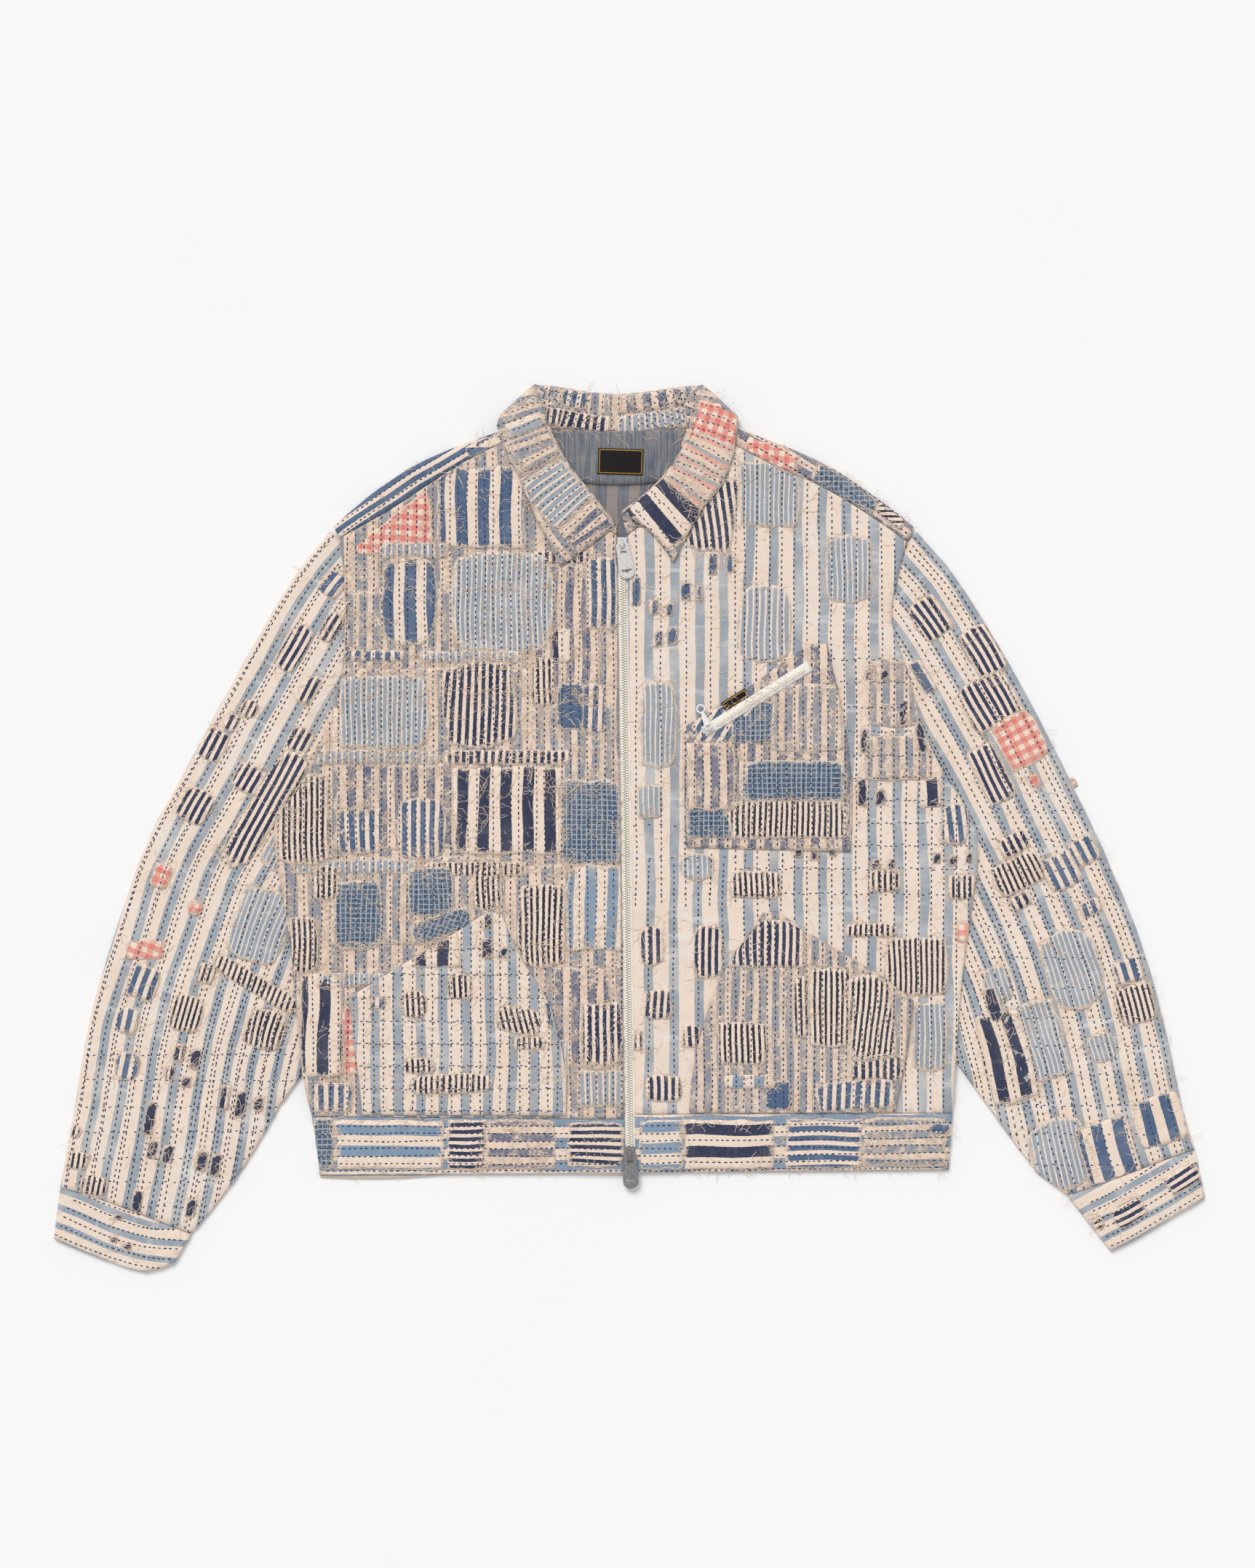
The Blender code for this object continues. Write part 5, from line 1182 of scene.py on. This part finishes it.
def addStrand(bundle, ring, start, length, swing, seed):
    # A thread sewn down loosely along a patch's edge, in uneven waves
    gaps = [math.dist(here, ring[(index + 1) % len(ring)]) for index, here in enumerate(ring)]
    total = sum(gaps)
    line = []
    run = start
    while run < start + min(length, total):
        left = run % total
        index = 0
        while left > gaps[index]:
            left -= gaps[index]
            index = (index + 1) % len(ring)
        here = ring[index]
        there = ring[(index + 1) % len(ring)]
        share = left / max(gaps[index], 1e-6)
        place = Vector((run * 0.13, seed, 0.0))
        x = here[0] + (there[0] - here[0]) * share + swing * noise.noise(place) * 2
        y = here[1] + (there[1] - here[1]) * share + swing * noise.noise(place + Vector((0.0, 9.0, 0.0))) * 2
        z, _ = ground.under(x, y)
        if z is None:
            break
        line.append((x, y, z + 0.2 + 0.5 * abs(noise.noise(place + Vector((0.0, 0.0, 4.0))))))
        run += fraying["strandStep"]
    if len(line) > 3 and clearOfPulls(line):
        bundle.tube(line, fraying["strandRadius"])


def addThread(bundle, x, y, angle, length, curl, rise):
    # A thread that curls over the cloth and is highest in its middle
    steps = 5
    line = []
    turnNow = angle
    for step in range(steps + 1):
        z, _ = ground.under(x, y)
        if z is None:  # beyond the cloth it hangs
            z = line[-1][2] - fraying["hang"] if line else None
            if z is None or z < fraying["hang"]:
                break
        line.append((x, y, z + rise * (0.3 + math.sin(math.pi * step / steps))))
        turnNow += dice.gauss(0, curl)
        x += math.cos(turnNow) * length / steps
        y += math.sin(turnNow) * length / steps
    if len(line) > 2 and clearOfPulls(line):
        bundle.tube(line, fraying["radius"])


def frayOutlines(bundle, wanted):
    for carrier, ring in outlines:
        if carrier not in wanted:
            continue
        for index, here in enumerate(ring):
            there = ring[(index + 1) % len(ring)]
            heading = math.atan2(there[1] - here[1], there[0] - here[0])
            for _ in range(int(math.dist(here, there) * fraying["perMillimetre"] + dice.random())):
                share = dice.random()
                x = here[0] + (there[0] - here[0]) * share + dice.gauss(0, 1.2)
                y = here[1] + (there[1] - here[1]) * share + dice.gauss(0, 1.2)
                along = dice.random() < fraying["alongEdge"]
                angle = heading + (dice.gauss(0, 0.35) if along else dice.uniform(0, 6.28))
                length = dice.uniform(5, fraying["longest"])
                addThread(bundle, x, y, angle, length, 0.55, dice.uniform(0.3, 0.9))


def frayArea(bundle, box, allowed, count):
    for _ in range(count):
        x = dice.uniform(box[0], box[1])
        y = dice.uniform(box[2], box[3])
        z, owner = ground.under(x, y)
        if z is None or ownerOf(owner) not in allowed:
            continue
        addThread(bundle, x, y, dice.gauss(0, 0.8), dice.uniform(4, 15), 0.5, dice.uniform(0.25, 0.7))


def buildFray():
    for key, (allowed, box, count) in frayAreas.items():
        bundle = Bundle()
        frayOutlines(bundle, allowed)
        for number, (carrier, ring) in enumerate(outlines):
            if carrier in allowed:
                around = sum(math.dist(here, ring[index - 1]) for index, here in enumerate(ring))
                for strand in range(2 + int(around / fraying["strandEvery"])):
                    addStrand(bundle, ring, dice.uniform(0, around), dice.uniform(10, 46),
                              dice.uniform(2.0, 6.5), number * 3.1 + strand)
        frayArea(bundle, box, allowed, count)
        frayPieces[key] = bundle.finish("fray_" + key, creamThread)


buildFray()
print("loose threads made", faceCount(frayPieces))


# Zip teeth: one shaped tooth repeated down both sides

teeth = {"pitch": 2.25, "length": 3.0, "wide": 1.35, "tall": 1.5}
smallTeeth = {"pitch": 1.9, "length": 1.9, "wide": 1.0, "tall": 1.0}
frontZip = {"topX": -6.5, "topY": 257.4, "long": 547.1, "lean": 7.1}
pocketZip = ((76.5, 90.0), (156.3, 139.9))
footOut = 0.78  # how far a tooth's foot lies from the zip's middle, as a share of its length


def toothPoints(sizes):
    # A tooth pointing along +x: a foot clamped on the tape and a nose that meets the other side
    half = sizes["wide"] / 2
    tall = sizes["tall"] / 2
    long = sizes["length"]
    side = ((0, half), (long * 0.35, half), (long * 0.5, half * 0.55), (long * 0.85, half * 0.5))
    plan = [(x, -y) for x, y in side] + [(long, 0)] + list(reversed(side))
    return [(x, y, z) for z in (-tall, tall) for x, y in plan], len(plan)


def buildTeeth(name, start, end, sizes, node):
    chain = Ground({node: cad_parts[node]})
    points = []
    faces = []
    shape, ringSize = toothPoints(sizes)
    length = math.dist(start, end)
    direction = ((end[0] - start[0]) / length, (end[1] - start[1]) / length)
    top = None
    for number in range(int(length / sizes["pitch"]) * 2):
        side = 1 if number % 2 else -1
        along = (number + 0.5) * sizes["pitch"] / 2
        under = chain.under(start[0] + direction[0] * along, start[1] + direction[1] * along)[0]
        top = under if under is not None else top
        if top is None:
            continue
        first = len(points)
        for x, y, z in shape:
            across = side * (sizes["length"] * footOut - x)
            run = along + y
            points.append((start[0] + direction[0] * run - direction[1] * across,
                           start[1] + direction[1] * run + direction[0] * across,
                           top - sizes["tall"] / 2 + z))
        faces.append(tuple(first + index for index in reversed(range(ringSize))))
        faces.append(tuple(first + ringSize + index for index in range(ringSize)))
        for index in range(ringSize):
            following = (index + 1) % ringSize
            faces.append((first + index, first + following, first + ringSize + following,
                          first + ringSize + index))
    mesh = makeMesh(name, points, faces)
    work = bmesh.new()
    work.from_mesh(mesh)
    bmesh.ops.recalc_face_normals(work, faces=work.faces)
    work.to_mesh(mesh)
    work.free()
    addPiece(name, mesh, toothMetal, node)
    for polygon in mesh.polygons:
        polygon.use_smooth = False


def zipPoint(y):
    # The front zip leans a little, as it lies
    return frontZip["topX"] + (frontZip["topY"] - y) / frontZip["long"] * frontZip["lean"], y


low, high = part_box("zip_chain")
buildTeeth("zip_teeth", zipPoint(high.y * 1000), zipPoint(low.y * 1000), teeth, "zip_chain")
buildTeeth("pocket_zip_teeth", *pocketZip, smallTeeth, "pocket_zip_chain")
metals = {
    "zip_slider_top": lightMetal, "zip_pull_top": lightMetal, "zip_slider_bottom": darkMetal,
    "zip_pull_bottom": darkMetal, "pocket_zip_slider": lightMetal, "pocket_zip_pull": lightMetal,
}
for node, material in metals.items():
    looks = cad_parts[node].data.materials
    looks.clear()
    looks.append(material)
print("zips made")


# How each cloth was cut: width and length in metres, laid flat and all round for a tube, its area where that
# isn't their product, what it lies on, and the pieces sewn on it

def sewnOn(carrier, *others):
    made = (patchPieces, stitchPieces, frayPieces)
    return [pieces[carrier] for pieces in made if carrier in pieces] + list(others)


trimWork = [stitchPieces["trims"], frayPieces["trims"]]
cuts = {
    "back_panel": (0.60, 0.61, 0.310, (), ()),
    "sleeve_right": (0.42, 0.62, 0.164, (), sewnOn("sleeve_right")),
    "sleeve_left": (0.42, 0.60, 0.152, (), sewnOn("sleeve_left")),
    "cuff_right": (0.24, 0.050, 0.0108, (), sewnOn("cuff_right")),
    "cuff_left": (0.24, 0.050, 0.0113, (), sewnOn("cuff_left")),
    "hem_band_back": (0.566, 0.055, None, (), ()),
    "front_right": (0.31, 0.60, 0.153, ("back_panel",), sewnOn("front_right")),
    "front_left": (0.31, 0.60, 0.153, ("back_panel",), sewnOn("front_left")),
    "hem_band_right": (0.277, 0.052, None, ("hem_band_back",), sewnOn("hem_band_right")),
    "hem_band_left": (0.281, 0.053, None, ("hem_band_back",), sewnOn("hem_band_left")),
    "shoulder_yoke_right": (0.17, 0.045, 0.0054, ("back_panel",), sewnOn("shoulder_yoke_right")),
    "shoulder_yoke_left": (0.17, 0.045, 0.0056, ("back_panel",), sewnOn("shoulder_yoke_left")),
    "neck_facing": (0.134, 0.048, 0.0054, ("back_panel",), (shells["neck_label"],)),
    "collar": (0.46, 0.085, 0.0346, ("front_right", "front_left"), sewnOn("collar", *trimWork)),
    "hand_pocket_right": (0.192, 0.181, 0.0261, ("front_right",), sewnOn("hand_pocket_right")),
    "hand_pocket_left": (0.198, 0.179, 0.0264, ("front_left",), sewnOn("hand_pocket_left")),
    "chest_pocket": (0.150, 0.184, 0.0219, ("front_left",), sewnOn("chest_pocket", shells["pocket_label"])),
    "zip_tape_right": (0.0136, 0.556, None, (), ()),
    "zip_tape_left": (0.0136, 0.556, None, (), ()),
    "pocket_zip_tape": (0.110, 0.010, None, ("chest_pocket",), ()),
}


# Floor, light and camera

# Metres; sun is the direction that the soft light falls in, and sunWide its spread in degrees
stage = {
    "floorSize": 40.0, "floorDrop": 0.0006, "cameraHeight": 2.4, "frameTall": 1.391,
    "middle": (-0.0016, 0.0374), "sensor": 36.0, "skyLight": 0.56, "softLight": 1.85,
    "sun": (0.3, -0.7, -1.0), "sunWide": 28,
}


def makeStage():
    half = stage["floorSize"] / 2
    low = -stage["floorDrop"]
    mesh = bpy.data.meshes.new("floor")
    mesh.from_pydata([(-half, -half, low), (half, -half, low), (half, half, low), (-half, half, low)], [],
                     [(0, 1, 2, 3)])
    shades = Shades("paleFloor", roughness=0.95)
    shades.shader.inputs["Specular IOR Level"].default_value = 0.0
    place = shades.node("ShaderNodeTexCoord", None, (), 3)
    tone = shades.grain(place, 3.0)
    shades.feed("Base Color", shades.blend(tone, paint(244, 244, 244), paint(246, 246, 246)))
    mesh.materials.append(shades.material)
    show("floor", mesh)
    world = bpy.data.worlds.new("studio")
    bpy.context.scene.world = world
    world.use_nodes = True
    sky = world.node_tree.nodes["Background"].inputs
    sky["Color"].default_value = white
    sky["Strength"].default_value = stage["skyLight"]
    light = bpy.data.lights.new("softLight", "SUN")
    light.energy = stage["softLight"]
    light.angle = math.radians(stage["sunWide"])
    show("softLight", light).rotation_euler = Vector(stage["sun"]).to_track_quat("-Z", "Y").to_euler()
    camera = bpy.data.cameras.new("camera")
    camera.sensor_width = stage["sensor"]
    camera.lens = stage["sensor"] * stage["cameraHeight"] / stage["frameTall"]
    eye = show("camera", camera)
    eye.location = (*stage["middle"], stage["cameraHeight"])
    bpy.context.scene.camera = eye
    bpy.context.scene.view_settings.view_transform = "Standard"
    bpy.context.scene.view_settings.look = "None"


makeStage()
